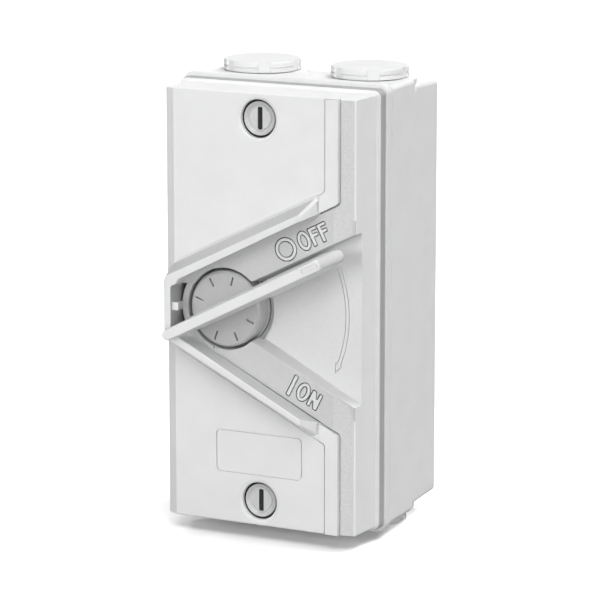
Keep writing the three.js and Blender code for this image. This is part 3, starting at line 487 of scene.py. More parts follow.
steel = metal("drawn steel", (0.58, 0.59, 0.6), 0.34)
brass = metal("turned brass", (0.74, 0.55, 0.24), 0.32)
copper = metal("rolled copper", (0.78, 0.42, 0.28), 0.36, (14, 1, 1))
print(len(bpy.data.materials), "materials with the metals")

# %% [markdown]
# ## Cover: the plain shell
# The cover's front is a flat panel with a bevel on the left and a broad, shallow bevel on
# the right. It is cast as one section carried along its height, with a thin flange behind
# and a tongue that locates it in the box. The section's corners carry small radii, because
# a sharp edge never catches the light.

# %% Cover shell
def rim_line(x, offset=25.7, slope=0.5157):
    """Height of a rim's inner edge over the middle: offset plus slope times x."""
    return offset + slope * np.asarray(x)


def bevel_depth(x):
    """Depth of the right bevel: it falls 1.5 mm from x = 29.3 to x = 38."""
    return 0.3 + 1.5 / 8.7 * (np.asarray(x) - 29.3)


# corners as x and depth, then each corner's radius
section = rounded([(-34.1, 0), (-38.0, 1.8), (-39.0, 17.0), (39.0, 17.0), (38.0, 1.8),
                   (27.56, 0.0)], [0.5, 0.7, 0.02, 0.02, 0.7, 3.0], 4)[::-1]
shell = slab(section, -79.4, 79.4, 0.5, 0.5, axis="z")
flange = slab(rectangle(40.2, 80.6, 2.6), 16.5, 17.4, 0.1, 0.1)
tongue = slab(rectangle(36.37, 78.1, 2.0), 15.0, 24.0, 0, 0.3)
cover_hollow = [cut(slab(rectangle(35.6, 77.0, 2.0), 2.4, 15.5, 0.6)),
                cut(slab(rectangle(34.57, 76.3, 2.0), 14.5, 25.0))]
print("section points", len(section))

# %% [markdown]
# ## Cover: guard rims and strips
# Two guard rims run beside the lever's sweep and meet in an upright bar at the left, so
# that the lever can't be struck. Each rim has an upright inner wall and a sloping outer
# one, so its outline in front differs from its outline at the foot. Blending one into
# the other, level by level, gives the slope and the sloping ends in one go.

# %% Guard rims
def mirrored(points):
    """The same points below the middle, in reverse order: x stays, z changes its sign."""
    return [(x, -z) for x, z in reversed(points)]


def guard_outline(end, outer, slope, bar, end_radius, bar_radius):
    """The guard seen from the front: a wedge from the bar at the left to its end at the
    right, with half height = outer + slope * x."""
    upper = [(end, outer + slope * end), (bar, outer + slope * bar)]
    radii = [end_radius, bar_radius]
    return rounded(upper + mirrored(upper), radii + radii[::-1], 5)


guard_front = -7.0
front_wedge = guard_outline(19.85, 28.6, 0.500, -34.9, 0.6, 2.4)
foot_wedge = guard_outline(23.9, 32.2, 0.498, -36.1, 1.5, 4.0)
inward, along = quarter(0.45)
rim_levels = np.concatenate([guard_front + along, [-3.5, 0.0, 1.0]])
share = (rim_levels - guard_front) / -guard_front
rim_rings = [front_wedge + (foot_wedge - front_wedge) * part for part in share]
rim_rings = [grown(ring, -v) for ring, v in zip(rim_rings, list(inward) + [0, 0, 0])]
guard = solid(stack(rim_rings, rim_levels))
print("guard levels", len(rim_levels))

# %% [markdown]
# The space for the lever is cut right through the guard, with soft edges in front. A raised
# strip with a slanted end runs from each rim to the end of the cover, and a small lug stands
# inside the upright bar, under the lever's short end.

# %% Opening, strips and lug
opening_half = [(44.0, float(rim_line(44))), (-28.9, float(rim_line(-28.9))),
                (-30.2, 8.75), (-32.3, 8.0)]
opening_radii = [0.02, 1.0, 0.8, 1.5]
opening = rounded(opening_half + mirrored(opening_half), opening_radii + opening_radii[::-1], 5)
opening = slab(opening, guard_front, 0.3, -0.45, 0, lead=2)

strip_left, strip_right = 24.4, 31.8
strip_top = rounded([(strip_left, float(rim_line(strip_left))),
                     (strip_right, float(rim_line(strip_right))), (strip_right, 79.4),
                     (26.85, 79.4), (26.85, 45.8), (strip_left, 44.55)],
                    [0.3, 1.8, 0.05, 0.05, 1.6, 0.3], 5)
strip_bottom = (strip_top * (1, -1))[::-1]
strips = [add(slab(outline, -0.65, 2.2, 0.18)) for outline in (strip_top, strip_bottom)]
lug = box_of((-33.0, -5.5, -1.1), (-29.8, -1.5, 1.9), 0.35)
print("opening", len(opening[0]), "points, strip", len(strip_top), "corner points")

# %% [markdown]
# The recess in front of the lever is a fan: it opens from the knob's bore to the cover's
# right side, and the bore meets the fan's sides in a rounded corner. The arc of that corner
# touches both the circle and the line, so its centre is where a circle larger by its radius
# crosses a line that is moved out by its radius.

# %% Recess for the lever
def bore_and_fan(deep, radius=15.1, corner=1.35, reach=44.0):
    """Circle and wedge in one outline; deep runs from 0 at the mouth to 1 at the fan's floor.
    Half height of the wedge = 12.35 - 1.35 deep + (0.508 + 0.0236 deep) x."""
    offset, slope = 12.35 - 1.35 * deep, 0.508 + 0.0236 * deep
    # the corner's centre lies on the larger circle and on the moved line: a quadratic in x
    moved = offset + corner * math.hypot(1, slope)
    a, b, c = 1 + slope ** 2, 2 * (slope * moved - knob_x), knob_x ** 2 + moved ** 2
    x = (-b + math.sqrt(b * b - 4 * a * (c - (radius + corner) ** 2))) / (2 * a)
    centre = np.array([x, moved + slope * x])
    # its arc runs from where it touches the line to where it touches the circle
    line_way = math.atan2(-1, slope)
    circle_way = math.atan2(-centre[1], knob_x - centre[0])
    if circle_way > line_way:
        circle_way -= 2 * math.pi
    t = np.linspace(line_way, circle_way, 9)
    bend = centre + corner * np.stack([np.cos(t), np.sin(t)], -1)
    # then the circle goes round the left, and the lower half mirrors the upper one
    start = math.atan2(centre[1], centre[0] - knob_x)
    t = np.linspace(start, 2 * math.pi - start, 73)[1:-1]
    bow = np.array([knob_x, 0]) + radius * np.stack([np.cos(t), np.sin(t)], -1)
    end = np.array([[reach, offset + slope * reach]])
    return np.concatenate([end, bend, bow, (bend * (1, -1))[::-1], end * (1, -1)])


fan_floor, ledge = 6.0, 0.3
mouth_in, mouth_along = quarter(0.35)
floor_in, floor_along = quarter(0.45)
recess_levels = np.concatenate([[-9.0], 0.28 + mouth_along, fan_floor - floor_along[::-1]])
recess_moves = np.concatenate([[0.35], mouth_in, -floor_in[::-1]])
how_deep = np.clip((recess_levels - ledge) / (fan_floor - ledge), 0, 1)
recess = solid(stack([grown(bore_and_fan(part), move)
                      for part, move in zip(how_deep, recess_moves)], recess_levels))
print("recess points", len(recess[0]))

# %% [markdown]
# Round the knob the cover is cut deeper: a bore that the knob turns in, a narrow moat on the
# side of the fan, a pocket at the left under the lever's short end, and a small notch that
# the knob's ticks are read against. Arcs about the knob's axis give their outlines.

# %% Bore, moat, pocket and notch
def around_knob(angles, radius):
    """Points about the knob's axis: radius times cosine across, radius times sine up."""
    a, r = np.asarray(angles), np.asarray(radius)
    return np.stack([r * np.cos(a) + knob_x, r * np.sin(a)], -1)


bore = slab(circle(15.1, knob_x), 0.0, 10.8, lead=9)
neck_hole = slab(circle(7.4, knob_x), 10.0, 14.0)
t = np.radians(np.linspace(-44, 44, 25))
moat = slab(np.concatenate([around_knob(t, 16.9), around_knob(t[::-1], 14.5)]), 5.0, 7.5)
pocket_high, pocket_radius = 8.1, 17.5
wide = math.asin(pocket_high / pocket_radius)
collar = around_knob(np.linspace(math.pi + wide, math.pi - wide, 21), pocket_radius)
left_corners = rounded([(-29.0, pocket_high), (-32.3, pocket_high), (-32.3, -pocket_high),
                        (-29.0, -pocket_high)], [0.02, 1.7, 1.7, 0.02], 5)[6:18]
pocket = slab(np.concatenate([left_corners, collar]), 0.0, 6.0, 0, 0.4, lead=1.3)
index_notch = around_knob(np.radians([-108.0, -110.6, -105.4]), [16.1, 14.8, 14.8])
index_notch = slab(rounded(index_notch, 0.1, 2), -0.4, 1.6)
print("pocket points", len(pocket[0]), "moat points", len(moat[0]))

# %% [markdown]
# ## Marks
# The positions are marked in relief: a ring and OFF above, a bar and ON below, and an arc
# with an arrow head on the fan's floor. Each mark stands in a fine groove that follows its
# outline and draws it as a dark line. A font could give the letters, but these are plain
# strokes, so a few corners each are enough, and they sit on their slanting rows exactly.

# %% Strokes of the marks
def on_row(points, x, z, up):
    """Letter corners (along, up) turned to the slant of their row and set at x, z."""
    c, s = math.cos(sweep), math.sin(sweep) * up
    return np.asarray(points, float) @ np.array([[c, s], [-s, c]]) + (x, z)


def oval(wide, high, x, z, up, steps=64):
    """Ellipse: wide times cosine along the row, high times sine up from it."""
    t = np.arange(steps) * 2 * np.pi / steps
    return on_row(np.stack([wide * np.cos(t), high * np.sin(t)], -1), x, z, up)


def stroke(corners, outer=0.16, inner=0.42):
    """Outline of a letter: its inner corners, where the outline turns clockwise, get the
    larger radius, so that a groove can follow it at a distance."""
    spot = np.asarray(corners, float)
    back, ahead = spot - np.roll(spot, 1, 0), np.roll(spot, -1, 0) - spot
    left_turn = back[:, 0] * ahead[:, 1] - back[:, 1] * ahead[:, 0] > 0
    return rounded(spot, np.where(left_turn, outer, inner), 4)


letter_f = stroke([(3.3, 0), (0, 0), (0, -6.4), (1.05, -6.4), (1.05, -3.3), (3.05, -3.3),
                   (3.05, -2.4), (1.05, -2.4), (1.05, -0.9), (3.3, -0.9)])
letter_n = stroke([(3.95, 6.1), (2.95, 6.1), (2.95, 1.9), (1.15, 6.1), (0, 6.1), (0, 0),
                   (1.0, 0), (1.0, 4.2), (2.8, 0), (3.95, 0)])
bar = stroke([(0.6, 4.05), (-0.6, 4.05), (-0.6, -4.05), (0.6, -4.05)])
print("F and N have", len(letter_f), "and", len(letter_n), "points")

# %% [markdown]
# The turning arrow is a band between two arcs about the knob's axis that ends in a head.
# Each mark is set at its place in one table, so that its raised stroke and its groove are
# made from the same outline and can't drift apart.

# %% Places of the marks
t = np.radians(np.linspace(22.6, -22.4, 60))
tip = around_knob(np.radians([-22.4, -26.0, -22.4]), [47.5, 46.3, 45.1])
arrow = np.concatenate([around_knob(t, 46.85), tip, around_knob(t, 45.75)[::-1]])[::-1]
# name: outline, inner outline or None, depth of the ground it stands on
marks = {
    "mark_ring": (oval(4.1, 4.1, 10.97, 24.05, 1), oval(3.05, 3.05, 10.97, 24.05, 1), ledge),
    "mark_off_o": (oval(2.35, 3.45, 18.2, 27.75, 1), oval(1.35, 2.4, 18.2, 27.75, 1), ledge),
    "mark_off_f1": (on_row(letter_f, 19.5, 31.95, 1), None, ledge),
    "mark_off_f2": (on_row(letter_f, 23.05, 33.78, 1), None, ledge),
    "mark_bar": (on_row(bar, 13.42, -25.6, -1), None, ledge),
    "mark_on_o": (oval(2.4, 3.5, 17.9, -27.6, -1), oval(1.28, 2.5, 17.9, -27.6, -1), ledge),
    "mark_on_n": (on_row(letter_n, 19.22, -31.91, -1), None, ledge),
    "turn_arrow": (arrow, None, fan_floor),
}
print(len(marks), "marks, the arrow with", len(arrow), "points")

# %% [markdown]
# Each stroke is a thin slab with softened edges that stands 0.12 mm proud. It goes down
# into a groove that is cut a little wider than the stroke. What the eye reads is the line of
# shade between the two, so the groove is as important as the letter.

# %% Raised strokes and their grooves
def mark_shape(outline, inner, ground, rise=0.12, base=1.0):
    """The raised stroke, from a little above its ground to below its groove."""
    if inner is None:
        return slab(outline, ground - rise, ground + base, 0.1)
    return hoop(outline, inner, ground - rise, ground + base, soft=0.1)


def mark_groove(outline, inner, ground, wide, deep):
    """What is cut away for a stroke: its outline grown by the groove's width, from in front
    of the ground to the groove's depth. The stroke itself is put back into it."""
    if inner is None:
        return slab(grown(outline, wide), ground - 1.0, ground + deep)
    return hoop(grown(outline, wide), grown(inner, -wide), ground - 1.0, ground + deep)


for name, parts in marks.items():
    keep(mesh_of(name, mark_shape(*parts)), fan_plastic, "cover_plastic", "cover")

# %% [markdown]
# ## Fine grooves
# A groove half a millimetre wide runs down between the panel and the raised strip, turns at
# the rim's foot and follows it, growing thinner. More of them frame the strip. A straight
# one is a thin block. One that turns is a ribbon along a path, with its own width at each
# point, pushed into the plastic.

# %% Grooves beside the strips
groove_top = 82.0  # above the cover's end, so that the grooves run out of it


def foot_groove(up, left=-33.0, right=26.57):
    """Round a corner of 1.8 mm beside the strip and along the guard's foot, whose line is
    32.75 + 0.498 * x."""
    foot = 32.75 + 0.498 * np.array([right, left])
    bend = rounded([(right, 60.0), (right, foot[0]), (left, foot[1]), (-60.0, 90.0)],
                   [0.05, 1.8, 0.05, 0.05], 8)[9:18]
    path = np.concatenate([bend, np.linspace(bend[-1], (left, foot[1]), 40)[1:]])
    outline = ribbon(path, np.interp(path[:, 0], [-33, 5, 19, 26.5], [0.15, 0.35, 0.6, 0.5]))
    return slab(outline * (1, up), -2.0, 0.5)


def strip_foot(up):
    """The straight groove along the strip's left side, from 47.2 mm above the middle."""
    z = sorted((up * 47.2, up * groove_top))
    return box_of((26.38, -2.0, z[0]), (26.84, 1.5, z[1]))


def strip_groove(up, start=24.6, side=32.09):
    """Beside the raised strip: along its slanted end, round its corner and up its right
    side. Its path is the rim's line moved down by 0.37 mm, then x = 32.09."""
    ends = [(20.0, float(rim_line(20.0)) - 0.37), (side, float(rim_line(side)) - 0.37)]
    line = rounded(ends + [(side, 85.0), (0.0, 85.0)], [0.05, 2.1, 0.05, 0.05], 8)[5:20]
    line[0] = (start, float(rim_line(start)) - 0.37)
    line[-1] = (side, groove_top)
    wide = np.interp(line[:, 0], [24.0, 31.0], [0.3, 0.54])
    return slab(ribbon(line, wide) * (1, up), -2.0, 2.0)


def cross_groove(up):
    """The short step between the rim's end and the strip's left corner."""
    z = sorted((up * 38.35, up * 42.3))
    return box_of((23.3, -2.0, z[0]), (24.38, 0.55, z[1]))


print("foot groove", len(foot_groove(1)[0]), "points, strip groove", len(strip_groove(1)[0]))

# %% [markdown]
# The field between the fan, the strip and the cover's edge is grained. It lies a little
# deeper than the bevel, so its border shows as a step. The screws sit in round wells, each
# with a fine raised ring and a chamfer at its mouth, and a thin line frames the label field.

# %% Grained field, screw wells and label field
field_step = 0.08


def grained_patch(up, left=29.65, strip=32.1, right=37.3):
    """A field 0.08 mm deeper than the bevel. Its lower side follows the fan's mouth, half
    height 12.9 + 0.508 * x, and its upper one the rim's line."""
    low, high = 12.9 + 0.508 * np.array([left, right]), rim_line([left, strip]) - 0.35
    corners = [(right, low[1]), (right, 79.0), (strip, 79.0), (strip, high[1]),
               (left, high[0]), (left, low[0])]
    outline = rounded(corners, [0.3, 0.3, 0.3, 2.1, 0.3, 0.3], 6) * (1, up)
    rings = stack([outline, outline], [-3.0, 0.0])
    rings[1, :, 1] = bevel_depth(outline[:, 0]) + field_step
    return solid(rings)


def screw_well(up):
    """Turned: the radii and depths of the ring, the chamfer, the well and the bolt's hole."""
    profile = [(0, -3), (8.45, -3), (8.45, 0.1), (8.25, 0.14), (8.1, 0.0), (7.8, 0.05),
               (7.4, 0.17), (7.12, 0.3), (7.02, 0.4), (7.0, 0.55), (7.0, 5.4), (3.4, 5.4),
               (3.4, 21), (0, 21)]
    return spun(profile, 0, up * screw_z)


label_outer = rectangle(17.45, 8.0, 2.0, 0, -52.7)
label = hoop(label_outer, grown(label_outer, -0.42), -0.5, 0.7)
both_ends = (foot_groove, strip_foot, strip_groove, cross_groove, grained_patch, screw_well)
details = [shape(up) for shape in both_ends for up in (1, -1)] + [label]
letter_groove, arrow_groove = (0.38, 1.4), (0.24, 0.35)  # width and depth
details += [mark_groove(*parts, *(arrow_groove if name == "turn_arrow" else letter_groove))
            for name, parts in marks.items()]
print(len(details), "grooves, fields and wells")

# %% [markdown]
# ## Cover: all of it
# Behind the front, the cover has a cup round the knob, backing behind the fan and posts
# for its screws. They show when the cover is lifted off, so they are modelled too. Order
# matters: walls are joined on first, then everything is cut, and the lug comes last,
# because it stands inside a space that is cut away.

# %% Cover assembled
backing = bore_and_fan(0)
backing = np.concatenate([[(37.8, 36.4)], backing[1:-1][:9] + (0, 2.7),
                          (backing[1:-1][-9:] - (0, 2.7)), [(37.8, -36.4)]])
inner_solids = [
    add(slab(backing, 1.0, 8.4, 0, 0.4)),
    add(slab(circle(17.5, knob_x), 1.0, 13.2, 0, 0.5)),
    add(box_of((-35.5, 1.0, -10.1), (knob_x, 8.4, 10.1), 0.3)),
    add(slab(circle(9.4, 0, screw_z), 1.0, 17.4, 0, 0.4)),
    add(slab(circle(9.4, 0, -screw_z), 1.0, 17.4, 0, 0.4)),
]
cover_shell = combine(
    "cover_shell", shell, add(flange), add(tongue), *cover_hollow, *inner_solids,
    add(guard), *strips, cut(opening),
    cut(recess), cut(bore), cut(moat), cut(pocket), cut(neck_hole), cut(index_notch),
    *map(cut, details), add(lug))
keep(cover_shell, cover_white, "cover_plastic", "cover", "cover")

# %% [markdown]
# One mesh can carry several finishes, one for each face. Faces could be picked by hand. Here
# a face's finish follows from where it lies and which way it faces: its centre and its
# normal are read for all faces at once, and each rule below is a comparison of whole arrays.

# %% Finishes of the cover's faces
SMOOTH, GRAINED, SATIN_AND_SHADE, FAN, PAINTED_SHADE, GROOVE_SHADE = range(6)
faces = cover_shell.data.polygons
centres, facing = np.empty(3 * len(faces)), np.empty(3 * len(faces))
faces.foreach_get("center", centres)
faces.foreach_get("normal", facing)
x, depth, z = (centres.reshape(-1, 3) / MM - (0, panel_y, 0)).T
sideways, ahead, tilt = facing.reshape(-1, 3).T * [[1], [-1], [1]]
high, tilt = np.abs(z), np.abs(tilt)

on_field = (ahead > 0.98) & (np.abs(depth - bevel_depth(x) - field_step) < 0.03)
finish = np.where(on_field, GRAINED, SMOOTH)

# The recess's walls and floors get the satin: partly a duller finish, partly painted shade of the
# recess.
between_rims = (high < rim_line(x, 25.8)) & (x > -33) & (x < 37.8)
walls = (depth > guard_front + 0.1) & (ahead < 0.3)
recessed = between_rims & (depth < 12) & (ahead > -0.5) & ((depth > 0.25) | walls)
finish = np.where(recessed & (finish == SMOOTH), SATIN_AND_SHADE, finish)
# painted shade: the fan's floor left of the middle keeps the darker satin, and only its right
# part gets the lighter fan plastic
fan = (finish == SATIN_AND_SHADE) & (x > 0) & (depth > 5.5) & (ahead > 0.9)
finish = np.where(fan, FAN, finish)

# The rims' outer slopes get the satin as painted shade: it darkens these up-facing faces.
slope = (tilt > 0.6) & (sideways < 0) & (ahead > 0.3) & (ahead < 0.7)
slope &= (depth < -0.2) & (depth > guard_front + 0.1) & (high > rim_line(x, 26.5))
finish = np.where(slope, SATIN_AND_SHADE, finish)

# Painted shade: the pocket under the lever's short end and the moat round the knob get a darker
# grey.
in_pocket = (x < -22) & (depth > -6.5) & (high < 8.6)
in_moat = (depth > 6.3) & (np.hypot(x - knob_x, z) < 17.2)
finish = np.where((finish == SATIN_AND_SHADE) & (in_pocket | in_moat), PAINTED_SHADE, finish)

# Painted shade: the fine grooves round the letters get a dark grey.
row = (x > 5) & (x < 28) & (high > 14.2 + 0.508 * x) & (high < rim_line(x, 25.0))
finish = np.where((finish == SATIN_AND_SHADE) & row & (depth > 0.4) & (depth < 1.8), GROOVE_SHADE, finish)

for material in (grained_plastic, satin_and_shade_plastic, fan_plastic, shade_recess_plastic, groove_shade_plastic):
    cover_shell.data.materials.append(material)
faces.foreach_set("material_index", finish.astype(np.int32))
print("faces of each finish", np.bincount(finish).tolist())

# %% [markdown]
# ## Lid seal
# A grey bead shows all round in the joint between cover and box; its grey is partly the
# seal's own and partly painted shade of the gap. It is a frame between two rounded
# rectangles with a softened front edge, and it stays on the cover when that lifts.

# %% Lid seal
bead = hoop(rectangle(40.35, 80.9, 2.6), rectangle(37.0, 78.6, 2.0), 17.45, 20.95, soft=0.2)
# the bead's grey is partly the seal's own and partly painted shade in the joint
keep(mesh_of("lid_seal_gap_shade", bead), seal_and_gap_shade_rubber, "seal_rubber", "cover", "cover_gasket")

# %% [markdown]
# ## Back box
# The box is screwed to the wall. Its lip meets the cover, its ends step down towards the
# wall, and pads stand round the conduit entries. A cube could be inset and pulled in until
# it looked right. Here each step has a measured depth, so the box is built like the cover: a
# stack of outlines for the body, turned shapes for the pads, and cuts for the hollow.

# %% Walls of the back box
lip = slab(rectangle(41.0, 82.5, 3.6), 21.0, 25.1, 0.25, 0.7)
# half width, half height, corner radius and depth of each section, front to back
walls = [(40.07, 81.0, 1.8, 24.0), (40.04, 81.0, 1.8, 26.9), (39.5, 80.5, 1.3, 26.95),
         (39.5, 80.5, 1.3, 27.5), (40.02, 81.0, 1.8, 27.55), (39.67, 81.0, 1.8, 47.1),
         (39.66, 80.6, 1.8, 47.5)]
body_rings = stack([rectangle(*v[:3]) for v in walls], [v[3] for v in walls])
step_groove = slab(rectangle(39.66, 77.6, 1.8), 46.0, 50.0)
rear = solid(stack([rectangle(39.35, 78.6, 1.8), rectangle(39.64, 78.9, 1.8),
                    rectangle(39.3, 78.3, 1.8)], [48.5, 48.8, 68.4]))
cavity = [cut(slab(rectangle(36.8, 78.5, 2.0), 19.0, 47.5)),
          cut(slab(rectangle(36.8, 75.8, 2.0), 19.0, 65.4))]


def entry_pad(side, up):
    """Turned: the raised pad round a conduit entry, 17.2 mm in radius."""
    profile = [(0, 75.0), (17.2, 75.0), (17.2, 80.6), (16.8, 81.0), (0, 81.0)]
    return spun([(r, up * z) for r, z in profile], side * entry_x, 0, 96, "z", entry_depth)


def entry_hole(side, up):
    """Turned: the entry's bore and the wider seat of the plug's seal."""
    profile = [(0, 71.8), (10.2, 71.8), (10.2, 80.1), (12.6, 80.1), (12.6, 82.0), (0, 82.0)]
    return spun([(r, up * z) for r, z in profile], side * entry_x, 0, 96, "z", entry_depth)


corners = [(side, up) for up in (1, -1) for side in (1, -1)]
print("walls of", len(walls), "sections,", len(corners), "entries")

# %% [markdown]
# Inside stand the posts for the cover's screws with a rib each, four low bosses for the wall
# screws, four for the switch and a block for the earth bar. Each has its hole. The switch's
# bosses lie round the knob's axis and the others round the middle.

# %% Back box assembled
def post(up):
    """A round post of 5.8 mm radius on a cover screw's axis."""
    return slab(circle(5.8, 0, up * screw_z, 48), 19.4, 65.9, 0.3)


def post_rib(up):
    """A thin wall that ties the post to the end of the box."""
    z = sorted((up * screw_z, up * 79.5))
    return box_of((-1.2, 24.4, z[0]), (1.2, 65.9, z[1]))


def studs(radius, x, z, low, high, about=0.0, segments=48, soft=0.0):
    """Four equal round shapes, x to either side of a line and z above and below it."""
    return [slab(circle(radius, about + side * x, up * z, segments), low, high, soft)
            for side, up in corners]


box_adds = ([entry_pad(*c) for c in corners] + [solid(body_rings), step_groove, rear])
box_inside = ([post(1), post(-1), post_rib(1), post_rib(-1)]
              + studs(5.5, 29, 64, 63.4, 65.9, soft=0.3)
              + studs(3.6, 17, 25.5, 63.4, 65.9, knob_x)
              + [box_of((18.5, 57.3, -17.0), (25.5, 65.9, 17.0), 0.3)])
box_cuts = ([entry_hole(*c) for c in corners]
            + [slab(circle(4.2, 0, up * screw_z, 48), 18.4, 29.4) for up in (1, -1)]
            + studs(2.6, 29, 64, 61.4, 69.4) + studs(1.8, 17, 25.5, 62.4, 67.2, knob_x, 32)
            + [slab(circle(1.8, 22, up * 14, 32), 56.0, 64.4) for up in (1, -1)])
case_shell = combine("case_shell", lip, *map(add, box_adds), *cavity,
                     *map(add, box_inside), *map(cut, box_cuts))
keep(case_shell, box_white, "box_plastic", "case", "back_box")

# %% [markdown]
# ## Blanking plugs
# A plug closes each conduit entry: a round head with a fine groove round its edge and six
# flats where a tool grips. A cylinder could be bevelled and cut six times. It is shorter to
# give the head's radius as a function of angle and height: the profile gives it by height,
# and inside each flat it is the distance to a straight chord.

# %% Blanking plugs
def plug_shape(side, up, radius=14.3, flat=0.7, half=2.0, flats=6):
    """Radius = profile of height, but at most (radius - flat) / cos(angle) within a flat."""
    profile = np.array([(0.0, 73.7), (9.1, 73.7), (9.9, 74.5), (9.9, 81.3), (13.9, 81.3),
                        (14.2, 81.4), (14.3, 81.7), (14.3, 82.75), (13.75, 83.0), (13.75, 83.15),
                        (14.3, 83.4), (14.3, 84.7), (14.2, 85.0), (13.95, 85.2), (12.2, 85.2),
                        (12.05, 85.15), (11.9, 85.2), (0.0, 85.2)])
    wide, tall = profile[:, :1], profile[:, 1:]
    turn, edge = 2 * math.pi / flats, math.asin(half / radius)
    one = np.concatenate([np.linspace(-edge, edge, 7), [edge + 0.02],
                          np.linspace(edge + 0.08, turn - edge - 0.08, 11),
                          [turn - edge - 0.02]])
    angle = (one + np.arange(flats)[:, None] * turn).ravel()
    within = np.abs((angle + turn / 2) % turn - turn / 2)
    chord = np.where(within <= edge + 1e-6, (radius - flat) / np.cos(within), radius + 1)
    in_head = (wide > 13) & (tall > 81.25)
    ring = np.where(in_head, np.minimum(wide, chord), wide)
    x = side * entry_x + ring * np.cos(angle)
    y = entry_depth + ring * np.sin(angle)
    return solid(np.stack([x, y, np.broadcast_to(up * tall, x.shape)], -1))


for side, up in corners:
    word = f"{'top' if up > 0 else 'bottom'}_{'right' if side > 0 else 'left'}"
    plug = mesh_of(f"blanking_plug_{word}", plug_shape(side, up))
    keep(plug, plug_white, "box_plastic", "case", f"plug_{word}")

# %% [markdown]
# ## Knob
# The round knob sits in the bore with a dark gap round it. Its rim is chamfered, and six
# short ticks are cut into its face, 45 degrees apart. A cylinder has no profile, so the knob
# is turned: face, chamfer, skirt, the seal's groove, neck and the clip's groove. The ticks
# could be painted, but cut with thin blocks along radii they catch a real shadow.

# %% Knob
def tick(degrees, from_radius=9.0, to_radius=12.5, half=0.4, deep=1.1):
    """A block along a radius, turned to its angle from the lever."""
    angle = sweep + math.radians(degrees)
    along = np.array([math.cos(angle), math.sin(angle)])
    aside = np.array([-along[1], along[0]])
    corners = [along * r + aside * w for r, w in
               ((to_radius, half), (from_radius, half), (from_radius, -half), (to_radius, -half))]
    return slab(rounded(corners, half * 0.9, 4) + (knob_x, 0), -1.0, deep)


def on_lever_line(side, radius, low, high, reach=9.4):
    """A round shape about one of the lever's two screws: reach to one side of the knob's
    axis, times cosine and sine of the lever's tilt."""
    x = knob_x + side * reach * math.cos(sweep)
    z = side * reach * math.sin(sweep)
    return slab(circle(radius, x, z, 32), low, high)


knob_profile = [(0, 0), (13.0, 0), (13.3, 0.08), (13.95, 0.75), (14.1, 1.05), (14.1, 6.4),
                (14.25, 6.65), (14.85, 6.75), (14.85, 7.4), (12.5, 7.4), (12.5, 9.8),
                (14.1, 9.8), (14.1, 10.4), (7.0, 10.4), (7.0, 13.4), (6.1, 13.4), (6.1, 14.7),
                (7.0, 14.7), (7.0, 17.4), (0, 17.4)]
shaft_hole = np.array([(1, 1), (-1, 1), (-1, -1), (1, -1)]) * 3.8
spin = np.array([[math.cos(sweep), math.sin(sweep)], [-math.sin(sweep), math.cos(sweep)]])
ticks = [tick(angle) for angle in (47, 92.5, 137, -47, -92.5, -137)]
screw_holes = [on_lever_line(side, *size) for side in (1, -1)
               for size in ((1.6, -1.0, 4.2), (2.2, 3.2, 11.4))]
dial_knob = combine("dial_knob", spun(knob_profile, knob_x, 0, 128), *map(cut, ticks),
                    cut(slab(shaft_hole @ spin + (knob_x, 0), 5.7, 18.0)),
                    *map(cut, screw_holes))
keep(dial_knob, knob_grey, "knob_plastic", "handle", "knob")

# %% [markdown]
# ## Lever
# The lever is a long narrow blade. Seen from the front it is a slot shape with round ends;
# its sides spread a little towards the cover, and its tip slopes back. A bevelled cube could
# be pulled to this, point by point. One outline for each depth says all of it in three
# numbers: its left end, its right end and its half width.

# %% Lever
def blade_outline(left, right, half, steps=12):
    """Slot with round ends along the lever: u from left to right, v from -half to half."""
    t = np.linspace(-np.pi / 2, np.pi / 2, steps)
    bow = np.stack([np.cos(t), np.sin(t)], -1) * half
    return np.concatenate([bow + (right - half, 0), -bow + (left + half, 0)])


def turned(points):
    """From the lever's own directions to the cover's: turned up by the sweep angle."""
    return points @ spin + (knob_x, 0)


# depth, left end, right end, shrink
blade_levels = [(-10.8, -22.2, 47.6, 0.5), (-10.75, -22.45, 47.9, 0.28),
                (-10.55, -22.62, 48.4, 0.1), (-10.2, -22.7, 49.1, 0.0),
                (-8.6, -22.7, 51.8, 0.0), (-8.0, -22.6, 52.8, 0.0), (-7.8, -22.3, 53.1, 0.15),
                (-7.8, -14.9, 53.1, 0.0), (-6.3, -14.7, 55.5, 0.0), (-5.9, -14.65, 55.9, 0.0),
                (-5.5, -14.6, 56.1, 0.0), (-4.9, -14.5, 55.8, 0.0), (-0.3, -13.9, 51.3, 0.0),
                (-0.3, 16.0, 51.3, 0.0), (3.2, 16.0, 47.6, 0.0), (3.6, 16.3, 46.9, 0.4)]
blade_front = -10.8
blade = [blade_outline(left, right, 1.92 + 0.1 * (depth - blade_front) - shrink)
         for depth, left, right, shrink in blade_levels]
blade = solid(stack([turned(v) for v in blade], [v[0] for v in blade_levels]))
print("lever", len(blade_levels), "sections")

# %% [markdown]
# Near the lever's tip a fine line frames a small window, and two screws come up from the
# knob. The tip beyond the window slopes back and is darker, so its faces get the satin plastic
# as painted shade: all whose centre lies further along the lever than the window's end.

# %% Lever assembled
window = turned(rounded([(47.8, 0.98), (40.7, 0.98), (40.7, -0.75), (47.8, -0.75)], 0.7, 6))
window = hoop(window, grown(window, -0.28), -11.8, -10.35)
holes = [on_lever_line(side, 1.5, -7.3, 1) for side in (1, -1)]
lever_blade = combine("lever_blade", blade, cut(window), *map(cut, holes))
keep(lever_blade, lever_white, "handle_plastic", "handle", "handle_lever")
lever_blade.data.materials.append(satin_and_shade_plastic)
centres = np.empty(3 * len(lever_blade.data.polygons))
lever_blade.data.polygons.foreach_get("center", centres)
x, _, z = centres.reshape(-1, 3).T / MM
